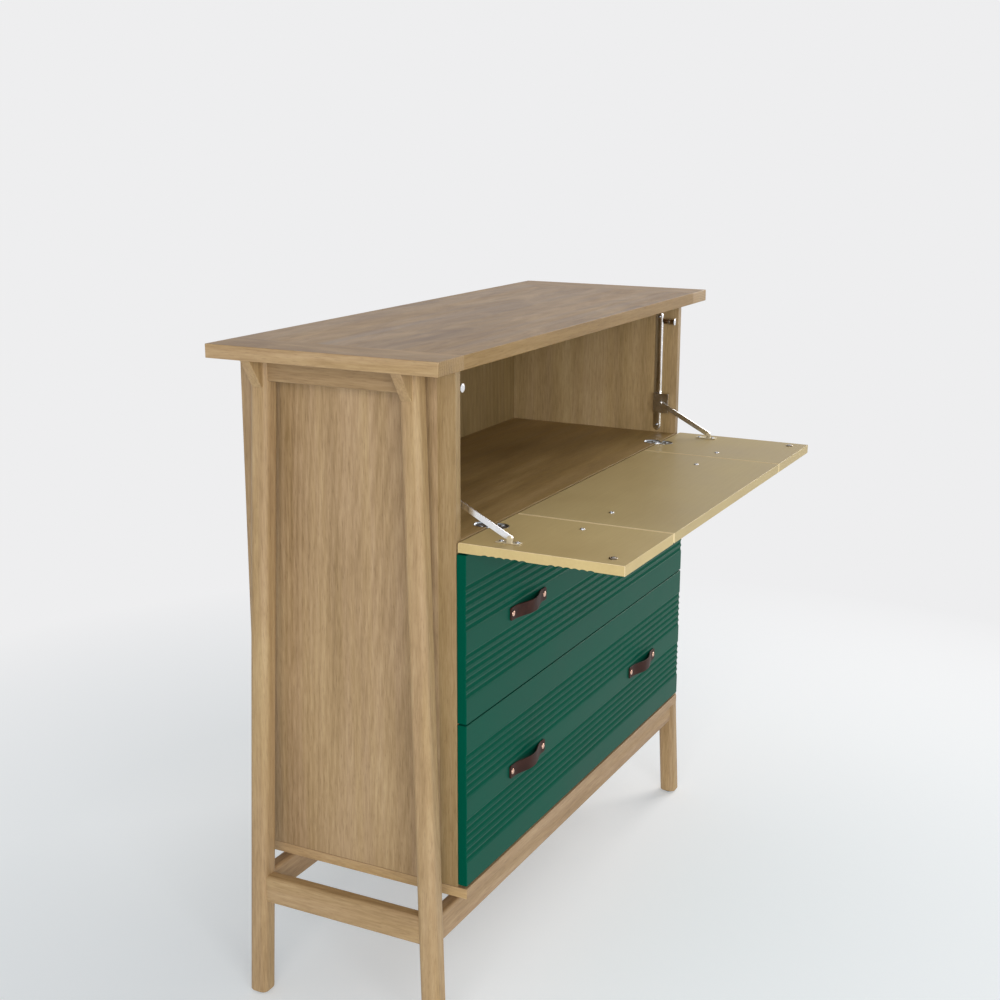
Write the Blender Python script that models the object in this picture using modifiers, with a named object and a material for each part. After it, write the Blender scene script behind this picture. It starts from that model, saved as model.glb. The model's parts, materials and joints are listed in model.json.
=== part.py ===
"""A chest of drawers with a drop-front writing flap: an oak case hung between two
splayed leg frames, two grooved drawers below and a flap of three boards above.

Metres, +Z up. The floor is z = 0 and the front is -Y. The origin is the middle of the
floor under the whole outline, with the flap open and the drawers shut, as it stands.
Distances along Y are first counted from the front edge of the top board.
"""

import math

import bmesh
import bpy
from mathutils import Matrix, Vector

# Fit between pieces
GAP = 0.0003
WELD_SHARE = 0.03
CUT_OVERRUN = 0.004
SMOOTH_BELOW_DEGREES = 40
ROUND_PROFILE_SHARE = 0.5

# Case of boards
CASE_WIDTH = 0.930
SIDE_THICKNESS = 0.015
BOTTOM_CLEARANCE = 0.229
BOTTOM_THICKNESS = 0.017
DESK_HEIGHT = 0.805
SHELF_THICKNESS = 0.018
BACK_THICKNESS = 0.008
BACK_INSET = 0.010

# Top board
TOTAL_HEIGHT = 1.084
TOP_DEPTH = 0.398
TOP_OVERHANG = 0.085
TOP_THICKNESS = 0.0215
TOP_ROUNDING = 0.0015

# Legs, each leaning outwards and away from the middle
LEG_SIZE = 0.033
LEG_CORNER = 0.008
LEG_CASE_GAP = 0.0092
LEG_SPREAD = 0.0283
FRONT_LEG_INSET = 0.0765
FRONT_LEG_SPLAY = 0.044
REAR_LEG_INSET = 0.064
REAR_LEG_SPLAY = 0.028
LEG_CORNER_STEPS = 4
GLIDE_RADIUS = 0.011
GLIDE_HEIGHT = 0.003

# Rails and stretchers between the legs
RAIL_HEIGHT = 0.036
RAIL_THICKNESS = 0.024
STRETCHER_BELOW_CASE = 0.014
STRETCHER_HEIGHT = 0.048
STRETCHER_THICKNESS = 0.024
STRETCHER_ROUNDING = 0.006
ROUNDING_STEPS = 3

# Corner brackets under the ends of the top board
BRACKET_WIDTH = 0.0174
BRACKET_HEIGHT = 0.0455
BRACKET_EDGE_INSET = 0.010
BRACKET_LIP = 0.0025

# Drawer fronts and the flap share one thickness and one pattern of grooves
FRONT_THICKNESS = 0.016
FRONT_SETBACK = 0.0036
FRONT_CLEARANCE = 0.0004
FRONT_SPACING = 0.002
FRONT_EDGE_ROUNDING = 0.0012
DRAWER_LIFT = 0.0045
FLAP_DRAWER_GAP = 0.0025
BAND_SHARES = (0.193, 0.597)
BAND_SPAN_SHARE = 0.2335
GROOVES_PER_BAND = 6
GROOVE_WIDTH_SHARE = 0.88
GROOVE_DEPTH_SHARE = 0.135
GROOVE_STEPS = 6
HANDLE_HEIGHT_SHARE = 0.5

# Drawer boxes
DRAWER_NAMES = ("bottom", "top")
DRAWER_REAR_CLEARANCE = 0.020
DRAWER_SIDE_THICKNESS = 0.014
DRAWER_SIDE_RISE = 0.018
DRAWER_HEADROOM = 0.029
DRAWER_CASE_GAP = 0.003
DRAWER_BOTTOM_THICKNESS = 0.006
DRAWER_BOTTOM_RISE = 0.010
DRAWER_BACK_THICKNESS = 0.012
RUNNER_WIDTH = 0.010
RUNNER_HEIGHT = 0.018
RUNNER_SETBACK = 0.002
RUNNER_REAR_CLEARANCE = 0.028
RUNNER_HEIGHT_SHARE = 0.5
RUNNER_TIP_CLEARANCE = 0.001
RUNNER_PLAY = 0.0004

# Flap and its hinge line, which lies inside the thickness of the flap
HINGE_AHEAD = 0.00725
HINGE_DROP = 0.00675
FLAP_REAR_GAP = 0.0025
FLAP_TOP_GAP = 0.004
FLAP_REAR_ROUNDING = 0.0035
FLAP_SEAM_FROM_SIDE = 0.194
ROUND_CORNER_STEPS = 4

# Cup hinges let into the shelf and the flap
CUP_RADIUS = 0.0175
CUP_BELOW_EYE = 0.0001
CUP_FROM_JOINT = 0.0115
CUP_FROM_SIDE = 0.111
CUP_REAR_SETBACK = 0.0025
CUP_STEPS = 28
PIN_RADIUS = 0.0020
PIN_PLAY = 0.0003
EYE_RADIUS = 0.0042
EYE_WIDTH = 0.010
EYE_TAIL = 0.006
SLOT_SIDE_PLAY = 0.0006
SLOT_END_PLAY = 0.0008
EYE_STEPS = 16

# Flap stays
STAY_RAIL_WIDTH = 0.016
STAY_RAIL_THICKNESS = 0.0025
STAY_RAIL_BEHIND_FRONT = 0.039
STAY_RAIL_FOOT_GAP = 0.004
STAY_RAIL_HEAD_GAP = 0.0145
STAY_BLOCK_DEPTH = 0.031
STAY_BLOCK_HEIGHT_SHARE = 0.1515
STAY_BLOCK_WIDTH = 0.0095
STAY_BLOCK_PLAY = 0.0005
STAY_BLOCK_BEHIND_FRONT = 0.02775
STAY_BLOCK_RISE_SHARE = 0.238
STAY_ARM_WIDTH = 0.009
STAY_ARM_THICKNESS = 0.0025
STAY_ARM_PLAY = 0.0005
STAY_FOOT_AHEAD_SHARE = 0.281
STAY_FOOT_RISE = 0.008
STAY_FOOT_LENGTH = 0.039
STAY_FOOT_WIDTH = 0.012
STAY_FOOT_BEHIND_PIVOT = 0.0225
STAY_FOOT_PLATE = 0.0015
STAY_EAR_THICKNESS = 0.0025
STAY_EAR_RADIUS = 0.0045
STAY_PIN_RADIUS = 0.0022
STAY_PIN_HEAD_RADIUS = 0.0036
STAY_PIN_HEAD_HEIGHT = 0.0013

# Magnetic catches in the case and the strikes on the flap that meet them
CATCH_FROM_SIDE = 0.012
CATCH_BODY_RADIUS = 0.0048
CATCH_TIP_RADIUS = 0.0065
CATCH_TIP_LENGTH = 0.0035
CATCH_LENGTH = 0.024
CATCH_LUG_THICKNESS = 0.004
CATCH_LUG_LENGTH = 0.014
STRIKE_EDGE_DISTANCE = 0.029
STRIKE_RADIUS = 0.0065
STRIKE_HEIGHT = 0.0018
CATCH_STRIKE_GAP = 0.0006
ROUND_STEPS = 24

# Leather strap handles, each held by two rivets
STRAP_WIDTH = 0.022
STRAP_THICKNESS = 0.0026
STRAP_RISE = 0.011
STRAP_RIVET_SPACING = 0.114
STRAP_END = 0.0075
STRAP_FLAT_HALF = 0.002
STRAP_BEND_RUN = 0.050
STRAP_BEND_STEPS = 10
STRAP_FROM_SIDE = 0.210
RIVET_RADIUS = 0.0053
RIVET_HEIGHT = 0.0016
RIVET_STEPS = 16

# Places that follow from the sizes above
SIDES = {"left": -1, "right": 1}
HALF_CASE = CASE_WIDTH / 2
INNER_HALF = HALF_CASE - SIDE_THICKNESS
TOP_LENGTH = CASE_WIDTH + 2 * TOP_OVERHANG
TOP_UNDERSIDE = TOTAL_HEIGHT - TOP_THICKNESS
BOTTOM_TOP = BOTTOM_CLEARANCE + BOTTOM_THICKNESS
SHELF_UNDERSIDE = DESK_HEIGHT - SHELF_THICKNESS
FLAP_UNDERSIDE = DESK_HEIGHT - FRONT_THICKNESS
HINGE_Z = DESK_HEIGHT - HINGE_DROP
FLAP_REACH = TOP_UNDERSIDE - FLAP_TOP_GAP - HINGE_Z
FLAP_LENGTH = FLAP_REACH + HINGE_AHEAD - FLAP_REAR_GAP
CASE_SETBACK = FRONT_SETBACK + FRONT_THICKNESS + FRONT_CLEARANCE
TOP_FRONT_Y = (HINGE_AHEAD + FLAP_REACH - CASE_SETBACK - TOP_DEPTH) / 2
FACE_Y = TOP_FRONT_Y + FRONT_SETBACK
CASE_FRONT_Y = TOP_FRONT_Y + CASE_SETBACK
CASE_BACK_Y = TOP_FRONT_Y + TOP_DEPTH
BACK_FACE_Y = CASE_BACK_Y - BACK_INSET - BACK_THICKNESS
HINGE_Y = CASE_FRONT_Y - HINGE_AHEAD
FLAP_REAR_Y = CASE_FRONT_Y - FLAP_REAR_GAP
FLAP_FRONT_Y = HINGE_Y - FLAP_REACH
STACK_HEIGHT = FLAP_UNDERSIDE - FLAP_DRAWER_GAP - BOTTOM_TOP - DRAWER_LIFT
FRONT_HEIGHT = (STACK_HEIGHT - FRONT_SPACING) / 2
LEG_TOP_X = HALF_CASE + LEG_CASE_GAP + LEG_SIZE / 2
DESK_ROOM = TOP_UNDERSIDE - DESK_HEIGHT
CUP_DEPTH = HINGE_DROP + EYE_RADIUS + CUP_BELOW_EYE
CUP_FROM_MIDDLE = HALF_CASE - CUP_FROM_SIDE
STRAP_FROM_MIDDLE = HALF_CASE - STRAP_FROM_SIDE
SEAM_FROM_MIDDLE = HALF_CASE - FLAP_SEAM_FROM_SIDE

# Turns that stand a flat outline up: its own x, y and thickness go to these directions
ALONG_X = Matrix(((0, 0, 1), (1, 0, 0), (0, 1, 0))).to_euler()
ALONG_Y = Matrix(((1, 0, 0), (0, 0, -1), (0, 1, 0))).to_euler()
FACING_FRONT = Matrix(((1, 0, 0), (0, -1, 0), (0, 0, -1))).to_euler()
FACING_DOWN = Matrix(((1, 0, 0), (0, 0, 1), (0, -1, 0))).to_euler()
AXIS_TO_X = Matrix(((0, 0, 1), (0, 1, 0), (-1, 0, 0))).to_euler()
AXIS_TO_Y = Matrix(((1, 0, 0), (0, 0, 1), (0, -1, 0))).to_euler()


def clear_scene():
    for obj in list(bpy.data.objects):
        bpy.data.objects.remove(obj)


def new_collection(name):
    collection = bpy.data.collections.new(name)
    bpy.context.scene.collection.children.link(collection)
    return collection


def linear(red, green, blue):
    """A colour picked from a picture, 0 to 255, as the linear values a shader takes."""
    return tuple((channel / 255) ** 2.2 for channel in (red, green, blue)) + (1,)


def new_material(name, colour, roughness, metallic=0.0):
    material = bpy.data.materials.new(name)
    material.use_nodes = True
    shader = material.node_tree.nodes["Principled BSDF"]
    shader.inputs["Base Color"].default_value = colour
    shader.inputs["Roughness"].default_value = roughness
    shader.inputs["Metallic"].default_value = metallic
    return material


clear_scene()
PARTS = new_collection("chest_of_drawers")
CUTTERS = new_collection("cutters")
OAK = new_material("oak", linear(176, 145, 104), 0.55)
TOP_OAK = new_material("top_oak", linear(160, 133, 106), 0.5)
PANEL_OAK = new_material("panel_oak", linear(170, 140, 100), 0.6)
BOX_WOOD = new_material("drawer_box_wood", linear(190, 160, 118), 0.6)
GREEN = new_material("green_lacquer", linear(18, 84, 66), 0.45)
CREAM = new_material("cream_lacquer", linear(190, 172, 122), 0.4)
LEATHER = new_material("brown_leather", linear(60, 42, 38), 0.6)
NICKEL = new_material("nickel", linear(190, 190, 188), 0.3, 1.0)
STEEL = new_material("bright_steel", linear(205, 207, 212), 0.25, 1.0)
CATCH_PLASTIC = new_material("catch_plastic", linear(215, 215, 210), 0.4)


def empty_at(name, place, parent=None):
    """An empty that carries a moving group; its place is on the joint's axis."""
    empty = bpy.data.objects.new(name, None)
    PARTS.objects.link(empty)
    settle(empty, place, parent)
    return empty


def settle(obj, place, carrier=None, turn=None):
    """Puts an object at a place given in world metres, carried by an unturned parent."""
    obj.location = Vector(place)
    if turn is not None:
        obj.rotation_euler = turn
    if carrier is not None:
        obj.parent = carrier
        obj.location = Vector(place) - carrier.matrix_world.translation
    bpy.context.view_layer.update()


def new_object(name, mesh, material, place, carrier=None, turn=None):
    obj = bpy.data.objects.new(name, mesh)
    PARTS.objects.link(obj)
    obj.data.materials.append(material)
    settle(obj, place, carrier, turn)
    return obj


def as_helper(obj):
    """Turns an object into a cutter: out of renders, drawn as wires, in its own collection."""
    PARTS.objects.unlink(obj)
    CUTTERS.objects.link(obj)
    obj.hide_render = True
    obj.display_type = "WIRE"
    return obj


def mesh_of(name, bm):
    mesh = bpy.data.meshes.new(name)
    bm.to_mesh(mesh)
    bm.free()
    return mesh


def box_mesh(name, size):
    bm = bmesh.new()
    bmesh.ops.create_cube(bm, size=1)
    bmesh.ops.scale(bm, vec=size, verts=bm.verts)
    return mesh_of(name, bm)


def box(name, low, high, material, carrier=None, rounding=0):
    """A board or block between two opposite corners, its origin in its middle."""
    low, high = Vector(low), Vector(high)
    obj = new_object(name, box_mesh(name, high - low), material, (low + high) / 2, carrier)
    if rounding:
        round_edges(obj, rounding)
    return obj


def round_edges(obj, width):
    bevel = obj.modifiers.new("rounded_edges", "BEVEL")
    bevel.width = width
    bevel.segments = ROUNDING_STEPS
    bevel.limit_method = "ANGLE"


def rod_mesh(name, radius, length, steps):
    """A round bar along its own z, centred on its origin."""
    bm = bmesh.new()
    bmesh.ops.create_cone(
        bm, cap_ends=True, segments=steps, radius1=radius, radius2=radius, depth=length
    )
    mesh = mesh_of(name, bm)
    mesh.shade_smooth()
    mesh.set_sharp_from_angle(angle=math.radians(SMOOTH_BELOW_DEGREES))
    return mesh


def outline_mesh(name, outlines, thickness):
    """A flat plate: the first outline filled, the later ones left as holes."""
    curve = bpy.data.curves.new(name, "CURVE")
    curve.dimensions = "2D"
    curve.fill_mode = "BOTH"
    curve.extrude = thickness / 2
    for outline in outlines:
        spline = curve.splines.new("POLY")
        spline.points.add(len(outline) - 1)
        for point, (x, y) in zip(spline.points, outline):
            point.co = (x, y, 0, 1)
        spline.use_cyclic_u = True
    drawn = bpy.data.objects.new(name, curve)
    PARTS.objects.link(drawn)
    bpy.context.view_layer.update()
    graph = bpy.context.evaluated_depsgraph_get()
    mesh = bpy.data.meshes.new_from_object(drawn.evaluated_get(graph))
    bpy.data.objects.remove(drawn)
    bm = bmesh.new()
    bm.from_mesh(mesh)
    bmesh.ops.remove_doubles(bm, verts=bm.verts, dist=GAP * WELD_SHARE)
    if len(outlines) == 1:
        for side in (1, -1):
            cap = [face for face in bm.faces if all(vert.co.z * side > 0 for vert in face.verts)]
            bmesh.ops.dissolve_faces(bm, faces=cap)
    bmesh.ops.recalc_face_normals(bm, faces=bm.faces)
    bm.to_mesh(mesh)
    bm.free()
    mesh.materials.clear()
    return mesh


def arc(centre_x, centre_y, radius, start, end, steps):
    """Points on an arc, its angles in degrees, both ends included."""
    points = []
    for step in range(steps + 1):
        angle = math.radians(start + (end - start) * step / steps)
        points.append((centre_x + radius * math.cos(angle), centre_y + radius * math.sin(angle)))
    return points


def circle(centre_x, centre_y, radius, steps):
    return arc(centre_x, centre_y, radius, 0, 360, steps)[:-1]


def boolean(obj, helper, operation):
    modifier = obj.modifiers.new(operation.lower() + "_" + helper.name, "BOOLEAN")
    modifier.operation = operation
    modifier.object = helper
    modifier.solver = "EXACT"


def cut(obj, cutter):
    boolean(obj, cutter, "DIFFERENCE")


def join(obj, helper):
    boolean(obj, helper, "UNION")


def helper_box(name, low, high):
    return as_helper(box(name, low, high, NICKEL))


def helper_rod(name, radius, length, steps, place, turn=None):
    return as_helper(new_object(name, rod_mesh(name, radius, length, steps), NICKEL, place, None, turn))


def mirrored_span(sign, near, far):
    """The low and high x of a span that lies between near and far from the middle plane."""
    return min(sign * near, sign * far), max(sign * near, sign * far)


# Legs and the pieces that join them


def leg_ends(sign, end):
    """Where a leg's axis meets the floor and the underside of the top board."""
    top_x = sign * LEG_TOP_X
    if end == "front":
        top_y = TOP_FRONT_Y + FRONT_LEG_INSET
        foot_y = top_y - FRONT_LEG_SPLAY
    else:
        top_y = CASE_BACK_Y - REAR_LEG_INSET
        foot_y = top_y + REAR_LEG_SPLAY
    foot = Vector((top_x + sign * LEG_SPREAD, foot_y, 0))
    return foot, Vector((top_x, top_y, TOP_UNDERSIDE))


def leg_centre(sign, end, height):
    foot, top = leg_ends(sign, end)
    return foot.lerp(top, height / TOP_UNDERSIDE)


def leaning_bar_mesh(name, foot, top, size, corner, low, high):
    """A square bar with rounded corners along a leaning axis, cut level at both ends."""
    lean = top - foot
    bm = bmesh.new()
    bmesh.ops.create_cube(bm, size=1)
    bmesh.ops.scale(bm, vec=(size, size, lean.length + size + size), verts=bm.verts)
    upright = [edge for edge in bm.edges if abs(edge.verts[0].co.z - edge.verts[1].co.z) > size]
    bmesh.ops.bevel(
        bm, geom=upright, offset=corner, offset_type="OFFSET", segments=LEG_CORNER_STEPS,
        profile=ROUND_PROFILE_SHARE, affect="EDGES",
    )
    bmesh.ops.translate(bm, vec=(0, 0, lean.length / 2), verts=bm.verts)
    turn = Vector((0, 0, 1)).rotation_difference(lean)
    bmesh.ops.rotate(bm, cent=(0, 0, 0), matrix=turn.to_matrix(), verts=bm.verts)
    for level, direction in ((high, 1), (low, -1)):
        geometry = bm.verts[:] + bm.edges[:] + bm.faces[:]
        sliced = bmesh.ops.bisect_plane(
            bm, geom=geometry, plane_co=(0, 0, level), plane_no=(0, 0, direction), clear_outer=True
        )
        rim = [item for item in sliced["geom_cut"] if isinstance(item, bmesh.types.BMEdge)]
        bmesh.ops.contextual_create(bm, geom=rim)
    bmesh.ops.recalc_face_normals(bm, faces=bm.faces)
    mesh = mesh_of(name, bm)
    mesh.shade_smooth()
    mesh.set_sharp_from_angle(angle=math.radians(SMOOTH_BELOW_DEGREES))
    return mesh


def leg_room(sign, end):
    """A leg grown by the fitting gap, which copes the ends of what meets the leg."""
    foot, top = leg_ends(sign, end)
    name = f"leg_room_{end}_{sign}"
    grown = LEG_SIZE + 2 * GAP
    mesh = leaning_bar_mesh(
        name, foot, top, grown, LEG_CORNER + GAP, -CUT_OVERRUN, TOP_UNDERSIDE + CUT_OVERRUN
    )
    return as_helper(new_object(name, mesh, OAK, foot))


def build_leg(sign, side, end):
    foot, top = leg_ends(sign, end)
    name = f"{end}_leg_{side}"
    mesh = leaning_bar_mesh(name, foot, top, LEG_SIZE, LEG_CORNER, GLIDE_HEIGHT, TOP_UNDERSIDE - GAP)
    leg = new_object(name, mesh, OAK, foot)
    middle = foot + Vector((0, 0, GLIDE_HEIGHT))
    glide = helper_rod(f"glide_{end}_{side}", GLIDE_RADIUS, 2 * GLIDE_HEIGHT, ROUND_STEPS, middle)
    join(leg, glide)


def bar_between(name, start, end, height, thickness, along, rounding, rooms):
    """A rail from one leg's axis to the next one's, coped where it meets the legs."""
    middle = (start + end) / 2
    length = (end - start).length
    size = (length, thickness, height) if along == "x" else (thickness, length, height)
    bar = new_object(name, box_mesh(name, size), OAK, middle)
    round_edges(bar, rounding)
    for room in rooms:
        cut(bar, room)


def build_leg_frames():
    rooms = {}
    for side, sign in SIDES.items():
        for end in ("front", "rear"):
            build_leg(sign, side, end)
            rooms[side, end] = leg_room(sign, end)
    rail_height = TOP_UNDERSIDE - GAP - RAIL_HEIGHT / 2
    stretcher_height = BOTTOM_CLEARANCE - STRETCHER_BELOW_CASE - STRETCHER_HEIGHT / 2
    for side, sign in SIDES.items():
        pair = [rooms[side, "front"], rooms[side, "rear"]]
        bar_between(
            f"top_rail_{side}", leg_centre(sign, "front", rail_height),
            leg_centre(sign, "rear", rail_height), RAIL_HEIGHT, RAIL_THICKNESS, "y",
            TOP_ROUNDING, pair,
        )
        bar_between(
            f"side_stretcher_{side}", leg_centre(sign, "front", stretcher_height),
            leg_centre(sign, "rear", stretcher_height), STRETCHER_HEIGHT, STRETCHER_THICKNESS,
            "y", STRETCHER_ROUNDING, pair,
        )
    for end in ("front", "rear"):
        pair = [rooms["left", end], rooms["right", end]]
        bar_between(
            f"{end}_stretcher", leg_centre(-1, end, stretcher_height),
            leg_centre(1, end, stretcher_height), STRETCHER_HEIGHT, STRETCHER_THICKNESS, "x",
            STRETCHER_ROUNDING, pair,
        )
    for side, sign in SIDES.items():
        for end in ("front", "rear"):
            build_bracket(sign, side, end, rooms[side, end])


def build_bracket(sign, side, end, room):
    """A gusset on the outer face of a leg, wide under the top board and narrow at its foot."""
    centre = leg_centre(sign, end, TOP_UNDERSIDE - BRACKET_HEIGHT / 2)
    inside = LEG_SIZE / 4
    lip = LEG_SIZE / 2 + BRACKET_LIP
    reach = TOP_LENGTH / 2 - BRACKET_EDGE_INSET - abs(centre.x)
    low, high = -BRACKET_HEIGHT / 2, BRACKET_HEIGHT / 2 - GAP
    outline = [(inside, low), (lip, low), (reach, high), (inside, high)]
    if sign < 0:
        outline = [(-x, y) for x, y in reversed(outline)]
    name = f"{end}_bracket_{side}"
    bracket = new_object(
        name, outline_mesh(name, [outline], BRACKET_WIDTH), OAK, centre, None, ALONG_Y
    )
    cut(bracket, room)


# Case


def build_case():
    half_top = TOP_LENGTH / 2
    box(
        "top_board", (-half_top, TOP_FRONT_Y, TOP_UNDERSIDE), (half_top, CASE_BACK_Y, TOTAL_HEIGHT),
        TOP_OAK, None, TOP_ROUNDING,
    )
    box(
        "bottom_board", (-HALF_CASE, FACE_Y, BOTTOM_CLEARANCE), (HALF_CASE, CASE_BACK_Y, BOTTOM_TOP),
        OAK,
    )
    for side, sign in SIDES.items():
        low_x, high_x = mirrored_span(sign, INNER_HALF, HALF_CASE)
        box(
            f"side_panel_{side}", (low_x, CASE_FRONT_Y, BOTTOM_TOP + GAP),
            (high_x, CASE_BACK_Y, TOP_UNDERSIDE - GAP), PANEL_OAK,
        )
    reach = INNER_HALF - GAP
    box(
        "back_panel", (-reach, BACK_FACE_Y, BOTTOM_TOP + GAP),
        (reach, BACK_FACE_Y + BACK_THICKNESS, TOP_UNDERSIDE - GAP), PANEL_OAK,
    )
    shelf = box(
        "desk_shelf", (-reach, CASE_FRONT_Y, SHELF_UNDERSIDE),
        (reach, BACK_FACE_Y - GAP, DESK_HEIGHT), OAK,
    )
    for side, sign in SIDES.items():
        cut(shelf, cup_pocket(f"shelf_pocket_{side}", sign, 1))


# Fronts with their two bands of grooves


def groove_centres(height, pitch):
    """Distances of the grooves from a front's upper edge."""
    return [
        height * band_share + pitch * number
        for band_share in BAND_SHARES
        for number in range(GROOVES_PER_BAND)
    ]


def groove_points(centre, width):
    """A round groove in the face at x = 0, from its upper lip to its lower one."""
    half = width / 2
    depth = width * GROOVE_DEPTH_SHARE
    radius = (half**2 + depth**2) / (2 * depth)
    sweep = math.degrees(math.asin(half / radius))
    return arc(depth - radius, centre, radius, sweep, -sweep, GROOVE_STEPS)


def front_outline(height, rear_rounding):
    """A front seen from its end: x runs in from the grooved face and y is its height."""
    edge = FRONT_EDGE_ROUNDING
    inner = FRONT_THICKNESS
    pitch = height * BAND_SPAN_SHARE / (GROOVES_PER_BAND - 1)
    outline = arc(edge, height - edge, edge, 90, 180, ROUNDING_STEPS)
    for distance in groove_centres(height, pitch):
        outline += groove_points(height - distance, pitch * GROOVE_WIDTH_SHARE)
    outline += arc(edge, edge, edge, 180, 270, ROUNDING_STEPS)
    outline += arc(
        inner - rear_rounding, rear_rounding, rear_rounding, 270, 360, ROUND_CORNER_STEPS
    )
    outline += arc(inner - edge, height - edge, edge, 0, 90, ROUNDING_STEPS)
    return outline


# Drawers


def build_drawer(name, low):
    """A drawer whose front begins at this height; its boards slide as one."""
    slide = empty_at(f"drawer_{name}_slide", (0, FACE_Y + FRONT_THICKNESS, low))
    front_name = f"drawer_{name}_front"
    front_mesh = outline_mesh(
        front_name, [front_outline(FRONT_HEIGHT, FRONT_EDGE_ROUNDING)], CASE_WIDTH
    )
    new_object(front_name, front_mesh, GREEN, (0, FACE_Y, low), slide, ALONG_X)
    start = FACE_Y + FRONT_THICKNESS + GAP
    end = BACK_FACE_Y - DRAWER_REAR_CLEARANCE
    base = low + DRAWER_SIDE_RISE
    rim = low + FRONT_HEIGHT - DRAWER_HEADROOM
    outer = INNER_HALF - DRAWER_CASE_GAP
    inner = outer - DRAWER_SIDE_THICKNESS
    runner_height = base + (rim - base) * RUNNER_HEIGHT_SHARE
    for side, sign in SIDES.items():
        low_x, high_x = mirrored_span(sign, inner, outer)
        board = box(
            f"drawer_{name}_side_{side}", (low_x, start, base), (high_x, end, rim), BOX_WOOD, slide
        )
        cut(board, runner_groove(name, side, sign, runner_height, start, end))
        build_runner(name, side, sign, runner_height)
    floor_low = base + DRAWER_BOTTOM_RISE
    floor_high = floor_low + DRAWER_BOTTOM_THICKNESS
    reach = inner - GAP
    box(f"drawer_{name}_bottom", (-reach, start, floor_low), (reach, end, floor_high), BOX_WOOD, slide)
    box(
        f"drawer_{name}_back", (-reach, end - DRAWER_BACK_THICKNESS, floor_high + GAP),
        (reach, end, rim), BOX_WOOD, slide,
    )
    handle_height = low + FRONT_HEIGHT * (1 - HANDLE_HEIGHT_SHARE)
    for side, sign in SIDES.items():
        place = (sign * STRAP_FROM_MIDDLE, FACE_Y - GAP, handle_height)
        build_strap(f"drawer_{name}_strap_{side}", place, slide, FACING_FRONT)


def runner_groove(name, side, sign, height, start, end):
    tip = INNER_HALF - RUNNER_WIDTH - RUNNER_TIP_CLEARANCE
    low_x, high_x = mirrored_span(sign, tip, INNER_HALF)
    half = RUNNER_HEIGHT / 2 + RUNNER_PLAY
    return helper_box(
        f"groove_{name}_{side}", (low_x, start - CUT_OVERRUN, height - half),
        (high_x, end + CUT_OVERRUN, height + half),
    )


def build_runner(name, side, sign, height):
    """A wooden strip on the case side that carries the groove of one drawer side."""
    low_x, high_x = mirrored_span(sign, INNER_HALF - RUNNER_WIDTH, INNER_HALF - GAP)
    front = CASE_FRONT_Y + RUNNER_SETBACK
    half = RUNNER_HEIGHT / 2
    box(
        f"runner_{name}_{side}", (low_x, front, height - half),
        (high_x, BACK_FACE_Y - RUNNER_REAR_CLEARANCE, height + half), BOX_WOOD,
    )


# Leather straps


def strap_line():
    """The strap's middle line: flat ends on the face and a raised loop between S-bends."""
    end = STRAP_RIVET_SPACING / 2 + STRAP_END
    rest = STRAP_THICKNESS / 2
    points = [(end, rest)]
    for step in range(STRAP_BEND_STEPS + 1):
        share = step / STRAP_BEND_STEPS
        x = STRAP_FLAT_HALF + STRAP_BEND_RUN * (1 - share)
        points.append((x, rest + STRAP_RISE * (1 - math.cos(math.pi * share)) / 2))
    return points + [(-x, y) for x, y in reversed(points)]


def strap_outline():
    line = [Vector(point) for point in strap_line()]
    above, below = [], []
    for number, point in enumerate(line):
        before = line[max(number - 1, 0)]
        after = line[min(number + 1, len(line) - 1)]
        along = (after - before).normalized()
        across = Vector((along.y, -along.x)) * STRAP_THICKNESS / 2
        above.append(tuple(point + across))
        below.append(tuple(point - across))
    return above + below[::-1]


def build_strap(name, place, carrier, turn):
    """A strap whose own y points away from the face that it lies on."""
    mesh = outline_mesh(name, [strap_outline()], STRAP_WIDTH)
    strap = new_object(name, mesh, LEATHER, place, carrier, turn)
    facing = AXIS_TO_Y if turn == FACING_FRONT else None
    low, high = STRAP_THICKNESS / 2, STRAP_THICKNESS + RIVET_HEIGHT
    for number, offset in enumerate((-STRAP_RIVET_SPACING / 2, STRAP_RIVET_SPACING / 2)):
        middle = Vector(place) + turn.to_matrix() @ Vector((offset, (low + high) / 2, 0))
        rivet = helper_rod(
            f"{name}_rivet_{number}", RIVET_RADIUS, high - low, RIVET_STEPS, middle, facing
        )
        join(strap, rivet)


# Hinges


def cup_centre_y(direction):
    """direction is 1 for the cup in the shelf and -1 for the one in the flap."""
    joint = (CASE_FRONT_Y + FLAP_REAR_Y) / 2
    return joint + direction * CUP_FROM_JOINT


def cup_pocket(name, sign, direction):
    """The round pocket for a cup, open at the top face and at the board's edge."""
    depth = CUP_DEPTH + GAP
    place = (sign * CUP_FROM_MIDDLE, cup_centre_y(direction), DESK_HEIGHT - depth / 2 + CUT_OVERRUN / 2)
    return helper_rod(name, CUP_RADIUS + GAP, depth + CUT_OVERRUN, CUP_STEPS, place)


def cup_outline(edge):
    """A disc cut off straight at this distance from its middle."""
    angle = math.degrees(math.acos(edge / CUP_RADIUS))
    return [(y, x) for x, y in arc(0, 0, CUP_RADIUS, angle, 360 - angle, CUP_STEPS)]


def build_hinge(side, sign, flap):
    x = sign * CUP_FROM_MIDDLE
    build_shelf_cup(side, x)
    build_flap_cup(side, x, flap)


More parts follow.
